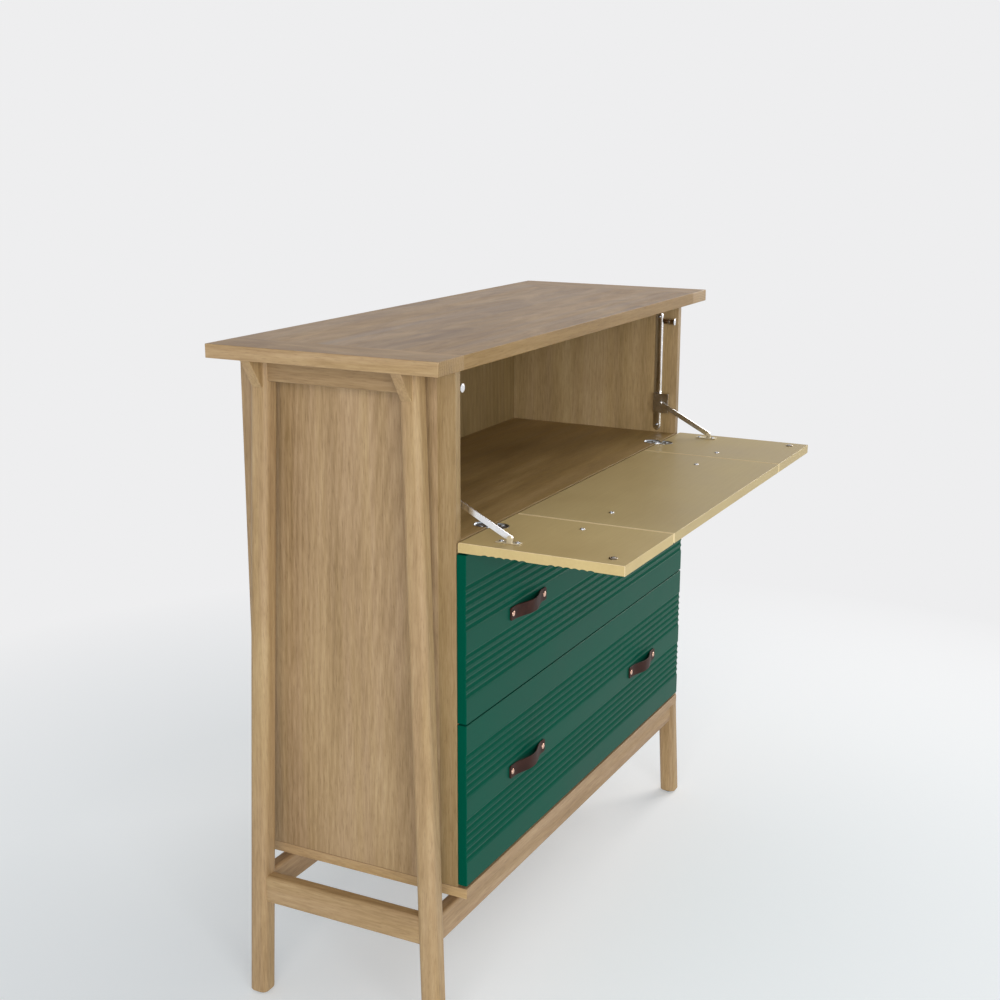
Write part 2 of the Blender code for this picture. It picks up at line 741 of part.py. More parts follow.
def build_shelf_cup(side, x):
    """The cup in the shelf, with the eye that reaches forward round the hinge pin."""
    centre_y = cup_centre_y(1)
    outline = [(px, -py) for px, py in reversed(cup_outline(centre_y - CASE_FRONT_Y))]
    name = f"hinge_shelf_cup_{side}"
    middle = DESK_HEIGHT - CUP_DEPTH / 2
    cup_mesh = outline_mesh(name, [outline], CUP_DEPTH)
    cup = new_object(name, cup_mesh, NICKEL, (x, centre_y, middle))
    tail = HINGE_AHEAD + EYE_TAIL
    eye = arc(0, 0, EYE_RADIUS, 90, 270, EYE_STEPS)
    eye = [(tail, -EYE_RADIUS), (tail, EYE_RADIUS)] + eye
    link_name = f"eye_{side}"
    bore = circle(0, 0, PIN_RADIUS + PIN_PLAY, EYE_STEPS)
    link_mesh = outline_mesh(link_name, [eye, bore], EYE_WIDTH)
    link = as_helper(new_object(link_name, link_mesh, NICKEL, (x, HINGE_Y, HINGE_Z), None, ALONG_X))
    join(cup, link)


def build_flap_cup(side, x, flap):
    """The cup in the flap, slotted for the eye, with the hinge pin across the slot."""
    centre_y = cup_centre_y(-1)
    edge = FLAP_REAR_Y - CUP_REAR_SETBACK - centre_y
    name = f"hinge_flap_cup_{side}"
    middle = DESK_HEIGHT - CUP_DEPTH / 2
    mesh = outline_mesh(name, [cup_outline(edge)], CUP_DEPTH)
    cup = new_object(name, mesh, NICKEL, (x, centre_y, middle), flap)
    half = EYE_WIDTH / 2 + SLOT_SIDE_PLAY
    slot_end = HINGE_Y - EYE_RADIUS - SLOT_END_PLAY
    slot = helper_box(
        f"slot_{side}", (x - half, slot_end, DESK_HEIGHT - CUP_DEPTH - CUT_OVERRUN),
        (x + half, FLAP_REAR_Y + CUT_OVERRUN, DESK_HEIGHT + CUT_OVERRUN),
    )
    cut(cup, slot)
    length = 2 * (half + PIN_RADIUS)
    pin = helper_rod(
        f"pin_{side}", PIN_RADIUS, length, EYE_STEPS, (x, HINGE_Y, HINGE_Z), AXIS_TO_X
    )
    join(cup, pin)


# Flap


def flap_board(name, low_x, high_x, flap):
    outline = front_outline(FLAP_LENGTH, FLAP_REAR_ROUNDING)
    lying = [(-y, x) for x, y in outline]
    place = ((low_x + high_x) / 2, FLAP_REAR_Y, FLAP_UNDERSIDE)
    return new_object(
        name, outline_mesh(name, [lying], high_x - low_x), CREAM, place, flap, ALONG_X
    )


def build_flap():
    """The flap lies open here, its inner face level with the shelf."""
    flap = empty_at("flap_hinge", (0, HINGE_Y, HINGE_Z))
    seam = SEAM_FROM_MIDDLE
    boards = {
        "left": flap_board("flap_board_left", -HALF_CASE, -seam - GAP, flap),
        "middle": flap_board("flap_board_middle", -seam, seam, flap),
        "right": flap_board("flap_board_right", seam + GAP, HALF_CASE, flap),
    }
    strap_y = FLAP_FRONT_Y + FLAP_LENGTH * HANDLE_HEIGHT_SHARE
    for side, sign in SIDES.items():
        cut(boards[side], cup_pocket(f"flap_pocket_{side}", sign, -1))
        build_hinge(side, sign, flap)
        build_strap(
            f"flap_strap_{side}", (sign * STRAP_FROM_MIDDLE, strap_y, FLAP_UNDERSIDE - GAP), flap,
            FACING_DOWN,
        )
        build_catch(side, sign, flap)
        build_stay(side, sign, flap)


def build_catch(side, sign, flap):
    """A magnetic catch beside the case side and its strike near the flap's front corner."""
    x = sign * (INNER_HALF - CATCH_FROM_SIDE)
    strike_y = FLAP_FRONT_Y + STRIKE_EDGE_DISTANCE
    strike_name = f"strike_{side}"
    strike_mesh = rod_mesh(strike_name, STRIKE_RADIUS, STRIKE_HEIGHT, ROUND_STEPS)
    strike_z = DESK_HEIGHT + GAP + STRIKE_HEIGHT / 2
    new_object(strike_name, strike_mesh, NICKEL, (x, strike_y, strike_z), flap)
    height = HINGE_Z + HINGE_Y - strike_y
    shut_face = HINGE_Y + HINGE_DROP
    tip_y = shut_face + GAP + STRIKE_HEIGHT + CATCH_STRIKE_GAP
    name = f"magnetic_catch_{side}"
    body_mesh = rod_mesh(name, CATCH_BODY_RADIUS, CATCH_LENGTH, ROUND_STEPS)
    catch = new_object(
        name, body_mesh, CATCH_PLASTIC, (x, tip_y + CATCH_LENGTH / 2, height), None, AXIS_TO_Y
    )
    tip = helper_rod(
        f"tip_{side}", CATCH_TIP_RADIUS, CATCH_TIP_LENGTH, ROUND_STEPS,
        (x, tip_y + CATCH_TIP_LENGTH / 2, height), AXIS_TO_Y,
    )
    join(catch, tip)
    lug_start = tip_y + CATCH_LENGTH - CATCH_LUG_LENGTH
    low_x, high_x = mirrored_span(sign, abs(x), INNER_HALF - GAP)
    half = CATCH_LUG_THICKNESS / 2
    lug = helper_box(
        f"lug_{side}", (low_x, lug_start, height - half),
        (high_x, lug_start + CATCH_LUG_LENGTH - CATCH_TIP_LENGTH, height + half),
    )
    join(catch, lug)


# Flap stays: a rail on the case side, a block that rides on it, an arm and its foot

RAIL_FACE = INNER_HALF - GAP - STAY_RAIL_THICKNESS
BLOCK_OUTER = RAIL_FACE - STAY_BLOCK_PLAY
BLOCK_INNER = BLOCK_OUTER - STAY_BLOCK_WIDTH
ARM_OUTER = BLOCK_INNER - STAY_ARM_PLAY
ARM_INNER = ARM_OUTER - STAY_ARM_THICKNESS
PIN_TIP = ARM_INNER - STAY_ARM_PLAY
FOOT_Y = CASE_FRONT_Y - FLAP_LENGTH * STAY_FOOT_AHEAD_SHARE
FOOT_Z = DESK_HEIGHT + STAY_FOOT_RISE
BLOCK_Y = CASE_FRONT_Y + STAY_BLOCK_BEHIND_FRONT
BLOCK_Z = DESK_HEIGHT + DESK_ROOM * STAY_BLOCK_RISE_SHARE


def build_stay(side, sign, flap):
    low_x, high_x = mirrored_span(sign, RAIL_FACE, INNER_HALF - GAP)
    rail_y = CASE_FRONT_Y + STAY_RAIL_BEHIND_FRONT
    half = STAY_RAIL_WIDTH / 2
    box(
        f"stay_rail_{side}", (low_x, rail_y - half, DESK_HEIGHT + STAY_RAIL_FOOT_GAP),
        (high_x, rail_y + half, TOP_UNDERSIDE - STAY_RAIL_HEAD_GAP), STEEL,
    )
    build_stay_foot(side, sign, flap)
    arm = build_stay_arm(side, sign, flap)
    build_stay_block(side, sign, arm)


def headed_pin(name, obj, sign, root, y, z):
    """A pin along X from the piece it belongs to, past the arm, with a head inside it."""
    end = PIN_TIP - STAY_PIN_HEAD_HEIGHT
    middle = sign * (root + PIN_TIP) / 2
    length = root - PIN_TIP + STAY_PIN_HEAD_HEIGHT
    pin = helper_rod(f"{name}_pin", STAY_PIN_RADIUS, length, EYE_STEPS, (middle, y, z), AXIS_TO_X)
    head = helper_rod(
        f"{name}_head", STAY_PIN_HEAD_RADIUS, STAY_PIN_HEAD_HEIGHT, EYE_STEPS,
        (sign * (end + PIN_TIP) / 2, y, z), AXIS_TO_X,
    )
    join(obj, pin)
    join(obj, head)


def build_stay_foot(side, sign, flap):
    """The plate on the flap, with the ear and pin that hold the arm."""
    ear_inner = ARM_OUTER + STAY_ARM_PLAY
    ear_outer = ear_inner + STAY_EAR_THICKNESS
    low_x, high_x = mirrored_span(sign, ear_outer - STAY_FOOT_WIDTH, ear_outer)
    rear = FOOT_Y + STAY_FOOT_BEHIND_PIVOT
    base = DESK_HEIGHT + GAP
    foot = box(
        f"stay_foot_{side}", (low_x, rear - STAY_FOOT_LENGTH, base),
        (high_x, rear, base + STAY_FOOT_PLATE), NICKEL, flap,
    )
    below = base + STAY_FOOT_PLATE / 2 - FOOT_Z
    ear = arc(0, 0, STAY_EAR_RADIUS, 0, 180, EYE_STEPS)
    ear += [(-STAY_EAR_RADIUS, below), (STAY_EAR_RADIUS, below)]
    name = f"ear_{side}"
    place = (sign * (ear_inner + ear_outer) / 2, FOOT_Y, FOOT_Z)
    ear_mesh = outline_mesh(name, [ear], STAY_EAR_THICKNESS)
    join(foot, as_helper(new_object(name, ear_mesh, NICKEL, place, None, ALONG_X)))
    headed_pin(f"foot_{side}", foot, sign, ear_inner + STAY_EAR_THICKNESS / 2, FOOT_Y, FOOT_Z)


def build_stay_arm(side, sign, flap):
    """The flat arm, its origin on the pin of its foot, turned to reach the block."""
    run = BLOCK_Y - FOOT_Y
    rise = BLOCK_Z - FOOT_Z
    length = math.hypot(run, rise)
    half = STAY_ARM_WIDTH / 2
    outline = arc(0, 0, half, 90, 270, EYE_STEPS) + arc(length, 0, half, -90, 90, EYE_STEPS)
    hole = STAY_PIN_RADIUS + PIN_PLAY
    holes = [circle(0, 0, hole, EYE_STEPS), circle(length, 0, hole, EYE_STEPS)]
    name = f"stay_arm_{side}"
    slope = Matrix.Rotation(math.atan2(rise, run), 3, "X") @ ALONG_X.to_matrix()
    place = (sign * (ARM_INNER + ARM_OUTER) / 2, FOOT_Y, FOOT_Z)
    mesh = outline_mesh(name, [outline] + holes, STAY_ARM_THICKNESS)
    return new_object(name, mesh, STEEL, place, flap, slope.to_euler())


def build_stay_block(side, sign, arm):
    """The block beside the rail, its origin on the pin at the upper end of the arm."""
    name = f"stay_block_{side}"
    size = (STAY_BLOCK_WIDTH, STAY_BLOCK_DEPTH, DESK_ROOM * STAY_BLOCK_HEIGHT_SHARE)
    x = sign * (BLOCK_INNER + BLOCK_OUTER) / 2
    block = new_object(name, box_mesh(name, size), NICKEL, (x, BLOCK_Y, BLOCK_Z))
    block.parent = arm
    block.matrix_parent_inverse = arm.matrix_world.inverted()
    headed_pin(f"block_{side}", block, sign, BLOCK_INNER + STAY_BLOCK_PLAY, BLOCK_Y, BLOCK_Z)


build_leg_frames()
build_case()
for position, drawer_name in enumerate(DRAWER_NAMES):
    build_drawer(drawer_name, BOTTOM_TOP + DRAWER_LIFT + position * (FRONT_HEIGHT + FRONT_SPACING))
build_flap()
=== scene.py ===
"""Looks of the writing chest of drawers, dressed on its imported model.

Metres, +Z up, and the front is -Y. A piece that stands for a CAD node takes its place
from that node's box and rides on its body.
"""

import json
import math

import bmesh
import bpy
from mathutils import Matrix, Vector

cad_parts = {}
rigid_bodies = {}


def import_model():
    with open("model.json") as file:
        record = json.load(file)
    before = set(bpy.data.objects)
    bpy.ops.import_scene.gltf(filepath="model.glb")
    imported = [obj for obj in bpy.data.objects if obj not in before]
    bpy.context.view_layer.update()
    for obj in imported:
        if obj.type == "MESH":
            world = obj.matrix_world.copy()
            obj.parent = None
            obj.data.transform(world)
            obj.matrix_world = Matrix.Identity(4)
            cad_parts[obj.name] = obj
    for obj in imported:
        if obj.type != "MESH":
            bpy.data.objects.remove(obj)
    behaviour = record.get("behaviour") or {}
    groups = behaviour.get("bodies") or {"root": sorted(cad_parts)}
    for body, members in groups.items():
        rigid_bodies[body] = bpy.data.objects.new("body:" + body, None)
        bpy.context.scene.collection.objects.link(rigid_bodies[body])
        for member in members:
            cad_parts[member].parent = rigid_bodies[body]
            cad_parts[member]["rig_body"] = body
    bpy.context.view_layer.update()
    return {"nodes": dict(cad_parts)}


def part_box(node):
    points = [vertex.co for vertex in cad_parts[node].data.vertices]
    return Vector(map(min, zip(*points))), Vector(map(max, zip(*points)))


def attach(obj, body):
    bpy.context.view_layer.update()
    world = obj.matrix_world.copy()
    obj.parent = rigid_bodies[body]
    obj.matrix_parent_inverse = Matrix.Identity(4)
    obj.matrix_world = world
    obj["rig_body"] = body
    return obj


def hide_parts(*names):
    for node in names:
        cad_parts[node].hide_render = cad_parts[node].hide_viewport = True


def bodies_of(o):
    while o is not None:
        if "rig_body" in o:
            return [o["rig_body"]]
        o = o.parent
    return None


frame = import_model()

SIDES = {"left": -1, "right": 1}
DRAWERS = ("bottom", "top")

# Places read from the frame
TOP_LOW, TOP_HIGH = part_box("top_board")
SHELF_LOW, SHELF_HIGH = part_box("desk_shelf")
FLAP_LOW, FLAP_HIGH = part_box("flap_board_middle")
DESK_Z = SHELF_HIGH.z
FRONT_THICKNESS = FLAP_HIGH.z - FLAP_LOW.z
FLAP_LENGTH = FLAP_HIGH.y - FLAP_LOW.y

# Boards; the two angles are in degrees
BOARD_STEPS = 3
SHARP_EDGE = 50
SMOOTH_BELOW = 40
TOP_ROUNDING = 0.0010
TOP_END_WIDTH = 0.075
BOARD_ROUNDING = 0.0009
SHADED_BAND_WIDTH = 0.030
SHELF_ROUNDING = 0.0003
BOX_ROUNDING = 0.0012
THIN_ROUNDING = 0.0005
RAIL_ROUNDING = 0.0025
STRETCHER_ROUNDING = 0.0065
STRETCHER_STEPS = 5

# Shares of a face's normal that choose its material
FACING = 0.9
TOP_FACING = 0.7
PANEL_FACING = 0.5
SEAM_FACING = (0.2, 0.99)
REAR_FACING = (0.3, 0.1)

# Legs
LEG_SIZE = 0.033
LEG_CORNER = 0.0105
LEG_CORNER_STEPS = 8
FOOT_CHAMFER = 0.0028
GLIDE_RADIUS = 0.011
GLIDE_SINK = 0.0005
LEAST_GLIDE = 0.001
LEVEL_REACH = 0.0006
TENON = 0.005
BRACKET_LIP = 0.0025
BRACKET_ROUNDING = 0.0008

# Grooved fronts
BAND_SHARES = (0.193, 0.597)
BAND_SPAN_SHARE = 0.2335
BAND_MARGIN = 0.55
GROOVES_PER_BAND = 6
GROOVE_WIDTH_SHARE = 0.88
GROOVE_DEPTH_SHARE = 0.135
GROOVE_SAMPLE = 0.0006
GROOVE_LIP = 0.0006
GROOVE_SHADE_SHARE = 0.24
LIP_SAMPLES = 4
EROSION_SAMPLES = 5
FRONT_ROUNDING = 0.0015
FLAP_ROUNDING = 0.0007
SEAM_ROUNDING = 0.0032
FLAP_REAR_ROUNDING = 0.0035
LEAST_ROUNDING = 0.00005
REAR_STEPS = 5
END_STEPS = 3
LARGEST_INSET = 0.98

# Drawer boxes
RUNNER_PLAY = 0.0004
RUNNER_END_PLAY = 0.001

# Leather straps
STRAP_WIDTH = 0.022
STRAP_THICKNESS = 0.0026
STRAP_EDGE = 0.0010
STRAP_EDGE_STEPS = 3
STRAP_RISE = 0.011
STRAP_HALF = 0.0645
STRAP_END_CORNER = 0.0030
STRAP_END_STEPS = 5
STRAP_FLAT_STOPS = (0.060, 0.056, 0.0525)
STRAP_FLAT_HALF = 0.002
STRAP_BEND_RUN = 0.050
STRAP_BEND_STEPS = 24
STRAP_GAP = 0.0003
STRAP_SMOOTH_BELOW = 60
RIVET_OFFSET = 0.057
RIVET_RADIUS = 0.0046
RIVET_HEIGHT = 0.0015
RIVET_SINK = 0.0008

# Hinges
CUP_RADIUS = 0.0175
CUP_WALL = 0.0012
CUP_RIM = 0.0002
CUP_HOLLOW = 0.0014
CUP_STEPS = 48
POCKET_PLAY = 0.0003
POCKET_RISE = 0.01
PIN_RADIUS = 0.0020
PIN_DEPTH = 0.00675
PIN_OVERHANG = 0.0026
EYE_RADIUS = 0.0042
EYE_WIDTH = 0.014
EYE_STEPS = 12
LINK_REACH = 0.004
LINK_TOP_END = 0.001
LINK_TIP = 0.0005
LINK_ROUNDING = 0.0005
WING_SCREW_OFFSET = 0.0105
WING_SCREW_INSET = 0.002

# Catches; the strike's profile is in shares of its radius and height
STRIKE_PROFILE = ((1.0, 0.0), (1.0, 0.45), (0.86, 0.8), (0.70, 0.86), (0.64, 0.55),
                  (0.56, 0.6), (0.46, 0.95), (0.2, 1.0), (0.0, 1.0))
STRIKE_RING_SHARE = 0.5
CATCH_BODY_SHARE = 0.74
LUG_FRONT = 0.0105
LUG_REAR = 0.0002
LUG_HALF = 0.002
LUG_ROUNDING = 0.0006

# Flap stays
RAIL_ARC_STEPS = 14
RAIL_END_STEPS = 6
RAIL_TIP_SHARE = 0.06
RAIL_FLANK_SHARE = 0.30
RAIL_SCREW_FROM_END = 0.011
RAIL_SCREW_SHARE = 0.8
FOOT_SCREW_X = 0.4320
FOOT_SCREW_FROM_END = 0.006
FOOT_PLATE = 0.0018
STAY_EDGE = 0.0005
STAY_FOOT_EDGE = 0.0004
WELD_BELOW = 0.00001
FLAT_BELOW = 1

# Small round parts; each screw head has a radius and a height
UP = Vector((0, 0, 1))
TURN_STEPS = 32
DOME_STEPS = 6
RECESS_SHARE = 0.42
SCREW_SINK = 0.0004
FLAP_SCREW = (0.0042, 0.0016)
FOOT_SCREW = (0.0036, 0.0014)
RAIL_SCREW = (0.0032, 0.0012)
WING_SCREW = (0.0032, 0.0011)

# Looks that several materials share
BUMP_STRENGTH = 0.5
PORE_SHARE = 0.20
PORE_TONE = (130, 108, 80)
BAND_TINT = (253, 253, 244)

# Camera fitted to the photograph; its angles are in degrees
CAMERA_PLACE = (-2.2965, -1.0592, 1.3881)
CAMERA_YAW = 26.961
CAMERA_PITCH = 13.960
CAMERA_ROLL = 0.153
FOCAL_SHARE = 1.4749
SENSOR = 36.0
CLIP_END = 200.0

# Light and backdrop
BACKDROP = (238, 238, 239)
WORLD_FILL = 0.37
FLOOR_ALBEDO = (236, 237, 237)
FLOOR_LIFT = 0.24
LIFT_TINT = (226, 243, 255)
FLOOR_SIZE = 60.0
FADE_START = 1.05
FADE_END = 2.1

# Soft square lamps: degrees round from the front, degrees up, distance, size, power, colour
LAMP_TARGET = Vector((0.0, 0.0, 0.55))
LAMPS = {
    "left_lamp": (-70.0, 15.0, 5.0, 2.4, 77.0, (1.0, 0.96, 0.96)),
    "front_lamp": (-45.0, 12.0, 5.0, 1.8, 68.0, (0.94, 0.98, 0.99)),
    "right_lamp": (72.0, 20.0, 5.0, 3.0, 146.0, (1.0, 0.94, 0.90)),
}


def linear(colour):
    """A colour from 0 to 255 as a screen shows it, in the linear values a shader takes."""
    channels = []
    for value in colour:
        share = value / 255
        channels.append(share / 12.92 if share <= 0.04045 else ((share + 0.055) / 1.055) ** 2.4)
    return (*channels, 1.0)


# Node trees


class Graph:
    """A node tree of a material or the world. Most calls add a node and give its output."""

    def __init__(self, name, world=False):
        self.owner = (bpy.data.worlds if world else bpy.data.materials).new(name)
        self.owner.use_nodes = True
        self.tree = self.owner.node_tree
        self.tree.nodes.clear()
        self.output = self.add("ShaderNodeOutputWorld" if world else "ShaderNodeOutputMaterial")

    def add(self, kind, **settings):
        node = self.tree.nodes.new(kind)
        for name, value in settings.items():
            setattr(node, name, value)
        return node

    def put(self, socket, value):
        if isinstance(value, bpy.types.NodeSocket):
            self.tree.links.new(value, socket)
        else:
            socket.default_value = value

    def make(self, kind, *values, **settings):
        """Adds a node with these first inputs and gives its first output."""
        node = self.add(kind, **settings)
        for socket, value in zip(node.inputs, values):
            self.put(socket, value)
        return node.outputs[0]

    def named(self, kind, **values):
        """Adds a node with these inputs, given by name, and gives its outputs."""
        node = self.add(kind)
        for name, value in values.items():
            self.put(node.inputs[name.replace("_", " ")], value)
        return node.outputs

    def place(self):
        """Where the shaded point lies on the piece, in metres at rest."""
        return self.add("ShaderNodeTexCoord").outputs["Object"]

    def join(self, x, y, z):
        return self.make("ShaderNodeCombineXYZ", x, y, z)

    def math(self, operation, *values):
        return self.make("ShaderNodeMath", *values, operation=operation)

    def noise(self, vector, scale, detail=2.0, roughness=0.5, distortion=0.0):
        return self.named("ShaderNodeTexNoise", Vector=vector, Scale=scale, Detail=detail,
                          Roughness=roughness, Distortion=distortion)["Fac"]

    def spread(self, value, low, high, to_low=0.0, to_high=1.0):
        """Maps one range to another and stays within it."""
        return self.make("ShaderNodeMapRange", value, low, high, to_low, to_high)

    def ramp(self, factor, stops):
        node = self.add("ShaderNodeValToRGB")
        self.put(node.inputs[0], factor)
        marks = node.color_ramp.elements
        while len(marks) < len(stops):
            marks.new(0.5)
        for mark, (position, colour) in zip(marks, stops):
            mark.position = position
            mark.color = linear(colour)
        return node.outputs[0]

    def blend(self, mode, factor, first, second):
        node = self.add("ShaderNodeMix", data_type="RGBA", blend_type=mode)
        self.put(node.inputs[0], factor)
        self.put(node.inputs[6], first)
        self.put(node.inputs[7], second)
        return node.outputs[2]

    def bump(self, height, distance):
        return self.named("ShaderNodeBump", Strength=BUMP_STRENGTH, Distance=distance,
                          Height=height)[0]

    def surface(self, colour, roughness, specular=0.5, **more):
        """Ends the tree in a surface with these inputs."""
        return self.show(self.named("ShaderNodeBsdfPrincipled", Base_Color=colour,
                                    Roughness=roughness, Specular_IOR_Level=specular, **more)[0])

    def show(self, shader):
        """Ends the tree in a shader and gives back what the tree belongs to."""
        self.put(self.output.inputs[0], shader)
        return self.owner


# Materials


def wood(name, grain, tones, pith, tilt=(0.0, 0.0), ring=0.011, ring_tone=0.12, streak_tone=0.42,
         cloud_tone=0.45, fibre_tone=0.50, rough=(0.42, 0.56), specular=0.35, mottle_tone=0.0):
    """Oak with its grain along one axis. Tones are its dark, middle and light colours.
    The growth rings lie round a pith line at these two places across the grain, leaning
    by tilt, so that a face beside it shows tall arches."""
    graph = Graph(name)
    calc, noise = graph.math, graph.noise
    axes = graph.add("ShaderNodeSeparateXYZ")
    graph.put(axes.inputs[0], graph.place())
    along = axes.outputs[grain]
    across = [axes.outputs[other] for other in range(3) if other != grain]
    wave = noise(graph.join(calc("MULTIPLY", along, 0.8), *across), 3.0, 1.0)
    sway = calc("MULTIPLY_ADD", wave, 0.024, -0.012)

    def stretched(length, width):
        scaled = [calc("MULTIPLY", item, 1 / width) for item in across]
        return graph.join(calc("MULTIPLY", along, 1 / length), *scaled)

    squares = []
    for item, middle, lean, shift in zip(across, pith, tilt, (sway, 0.0)):
        offset = calc("MULTIPLY_ADD", along, lean, calc("SUBTRACT", item, middle))
        offset = calc("ABSOLUTE", calc("ADD", offset, shift))
        squares.append(calc("POWER", offset, 2.0))
    radius = calc("SQRT", calc("ADD", *squares))
    uneven = calc("MULTIPLY_ADD", noise(stretched(3.0, 0.05), 1.0, 2.0), ring, radius)
    rings = calc("SINE", calc("MULTIPLY", uneven, 2 * math.pi / ring))
    rings = calc("MULTIPLY", rings, noise(stretched(0.25, 0.07), 1.0, 1.0))
    streaks = noise(stretched(0.85, 0.028), 1.0, 3.0, 0.6)
    fibres = noise(stretched(0.040, 0.0030), 1.0, 2.0, 0.6)
    clouds = noise(stretched(0.32, 0.13), 1.0, 2.0, 0.5)
    pores = graph.spread(noise(stretched(0.014, 0.0016), 1.0, 1.0), 0.58, 0.74)
    tone = calc("MULTIPLY_ADD", rings, ring_tone, 0.5)
    mottle = noise(stretched(0.13, 0.042), 1.0, 3.0, 0.6, 1.2)
    for layer, share in ((streaks, streak_tone), (fibres, fibre_tone), (clouds, cloud_tone),
                         (mottle, mottle_tone)):
        tone = calc("MULTIPLY_ADD", calc("SUBTRACT", layer, 0.5), 2 * share, tone)
    dark, middle, light = tones
    colour = graph.ramp(tone, [(0.05, dark), (0.5, middle), (0.95, light)])
    colour = graph.blend("MULTIPLY", calc("MULTIPLY", pores, PORE_SHARE), colour,
                         linear(PORE_TONE))
    tint = graph.spread(noise(stretched(0.5, 0.022), 1.3, 1.0), 0.35, 0.65)
    colour = graph.blend("MULTIPLY", tint, colour, linear(BAND_TINT))
    roughness = graph.spread(streaks, 0.3, 0.7, *rough)
    height = calc("SUBTRACT", fibres, calc("MULTIPLY", pores, 0.8))
    return graph.surface(colour, roughness, specular, Normal=graph.bump(height, 0.00010))


OAK_TONES = ((146, 118, 82), (171, 142, 104), (188, 161, 123))
RAIL_TONES = ((133, 107, 76), (153, 126, 93), (169, 142, 108))
# Painted light: a lighter oak for the bottom board's ends, so that they do not fall dark in their
# shade
LIT_END_TONES = ((160, 130, 92), (186, 156, 115), (202, 175, 135))
LONG_TONES = ((142, 113, 81), (167, 137, 103), (184, 156, 122))
TOP_TONES = ((120, 88, 53), (153, 121, 82), (180, 148, 108))
EDGE_TONES = ((126, 98, 57), (145, 116, 72), (160, 131, 88))
PANEL_TONES = ((141, 115, 80), (169, 141, 106), (190, 163, 127))
# Painted light: a lighter copy of the panel's oak for the side panels' inner faces, inside the dim
# case
LIT_INNER_TONES = ((146, 123, 85), (173, 147, 108), (192, 168, 128))
# Painted shade: a darker copy of the panel's oak for the strip of the side panels' outer faces in
# front of the front legs
SHADED_BAND_TONES = ((130, 106, 68), (155, 129, 90), (174, 149, 109))
BACK_TONES = ((132, 111, 72), (154, 130, 90), (171, 148, 109))
SHELF_TONES = ((131, 105, 63), (156, 129, 82), (176, 149, 102))
# Painted light: the shelf's front edge, in the shaded gap by the flap, in a tone set to keep that
# gap line from reading dark
JOINT_LIT_TONES = ((134, 112, 74), (150, 127, 86), (164, 141, 100))
BOX_TONES = ((184, 153, 110), (200, 172, 130), (212, 186, 148))


def lacquer(name, colours, rough, specular, grain_depth, grain=(18.0, 420.0, 420.0)):
    """Paint over wood: a little of the grain lifts it, and its tone drifts slightly."""
    graph = Graph(name)
    place = graph.place()
    drift = graph.noise(place, 5.0, 3.0, 0.55)
    scaled = graph.make("ShaderNodeVectorMath", place, grain, operation="MULTIPLY")
    fibres = graph.noise(scaled, 1.0, 2.0, 0.6)
    tone = graph.math("MULTIPLY_ADD", graph.math("SUBTRACT", fibres, 0.5), 0.3, drift)
    colour = graph.ramp(tone, [(0.25, colours[0]), (0.75, colours[1])])
    roughness = graph.spread(drift, 0.3, 0.7, *rough)
    return graph.surface(colour, roughness, specular, Normal=graph.bump(fibres, grain_depth))


def leather(name, dark, light, specular):
    graph = Graph(name)
    place = graph.place()
    pebbles = graph.add("ShaderNodeTexVoronoi", feature="SMOOTH_F1")
    graph.put(pebbles.inputs["Vector"], place)
    pebbles.inputs["Scale"].default_value = 900.0
    creases = graph.noise(place, 260.0, 4.0, 0.6)
    wear = graph.noise(place, 60.0, 3.0, 0.6)
    colour = graph.ramp(wear, [(0.3, dark), (0.75, light)])
    roughness = graph.spread(wear, 0.3, 0.7, 0.42, 0.6)
    height = graph.math("ADD", pebbles.outputs["Distance"], graph.math("MULTIPLY", creases, 0.6))
    return graph.surface(colour, roughness, specular, Normal=graph.bump(height, 0.00015))


def metal(name, dark, light, rough):
    """Polished metal with faint smudges."""
    graph = Graph(name)
    place = graph.place()
    smudges = graph.noise(place, 90.0, 2.0, 0.5)
    colour = graph.ramp(smudges, [(0.3, dark), (0.7, light)])
    roughness = graph.spread(smudges, 0.3, 0.7, *rough)
    return graph.surface(colour, roughness, Metallic=1.0)


def moulded(name, dark, light, rough):
    """Moulded plastic with a faint speckle."""
    graph = Graph(name)
    speckle = graph.noise(graph.place(), 1500.0, 3.0, 0.6)
    drift = graph.noise(graph.place(), 120.0, 2.0, 0.5)
    colour = graph.ramp(drift, [(0.3, dark), (0.7, light)])
    roughness = graph.spread(drift, 0.3, 0.7, *rough)
    return graph.surface(colour, roughness, Normal=graph.bump(speckle, 0.00003))


LEG_OAK = wood("oak_upright", 2, OAK_TONES, (0.30, 0.65), (0.02, 0.0), 0.014, 0.10)
RAIL_OAK = wood("oak_rails", 1, RAIL_TONES, (0.25, 0.30), (0.0, 0.03))
CROSS_OAK = wood("oak_crosswise", 1, OAK_TONES, (0.25, 0.30), (0.0, 0.03))
END_OAK = wood("oak_board_ends_painted_light", 1, LIT_END_TONES, (0.25, 0.30), (0.0, 0.03))
LONG_OAK = wood("oak_lengthwise", 0, LONG_TONES, (0.40, 0.40), (0.0, 0.03))
TOP_LOOK = {
    "tilt": (0.0, 0.05), "ring": 0.012, "ring_tone": 0.06, "streak_tone": 0.38,
    "cloud_tone": 0.40, "fibre_tone": 0.22, "rough": (0.38, 0.52), "specular": 0.43,
    "mottle_tone": 0.60,
}
TOP_OAK = wood("oak_top", 0, TOP_TONES, (0.12, 0.95), **TOP_LOOK)
TOP_END_OAK = wood("oak_top_ends", 1, TOP_TONES, (0.55, 0.95), **TOP_LOOK)
EDGE_OAK = wood("oak_front_edge", 0, EDGE_TONES, (0.12, 0.95), (0.0, 0.05), specular=0.15)
END_GRAIN_OAK = wood("oak_end_grain", 1, EDGE_TONES, (0.50, 0.90), (0.0, 0.05), 0.005, 0.45)
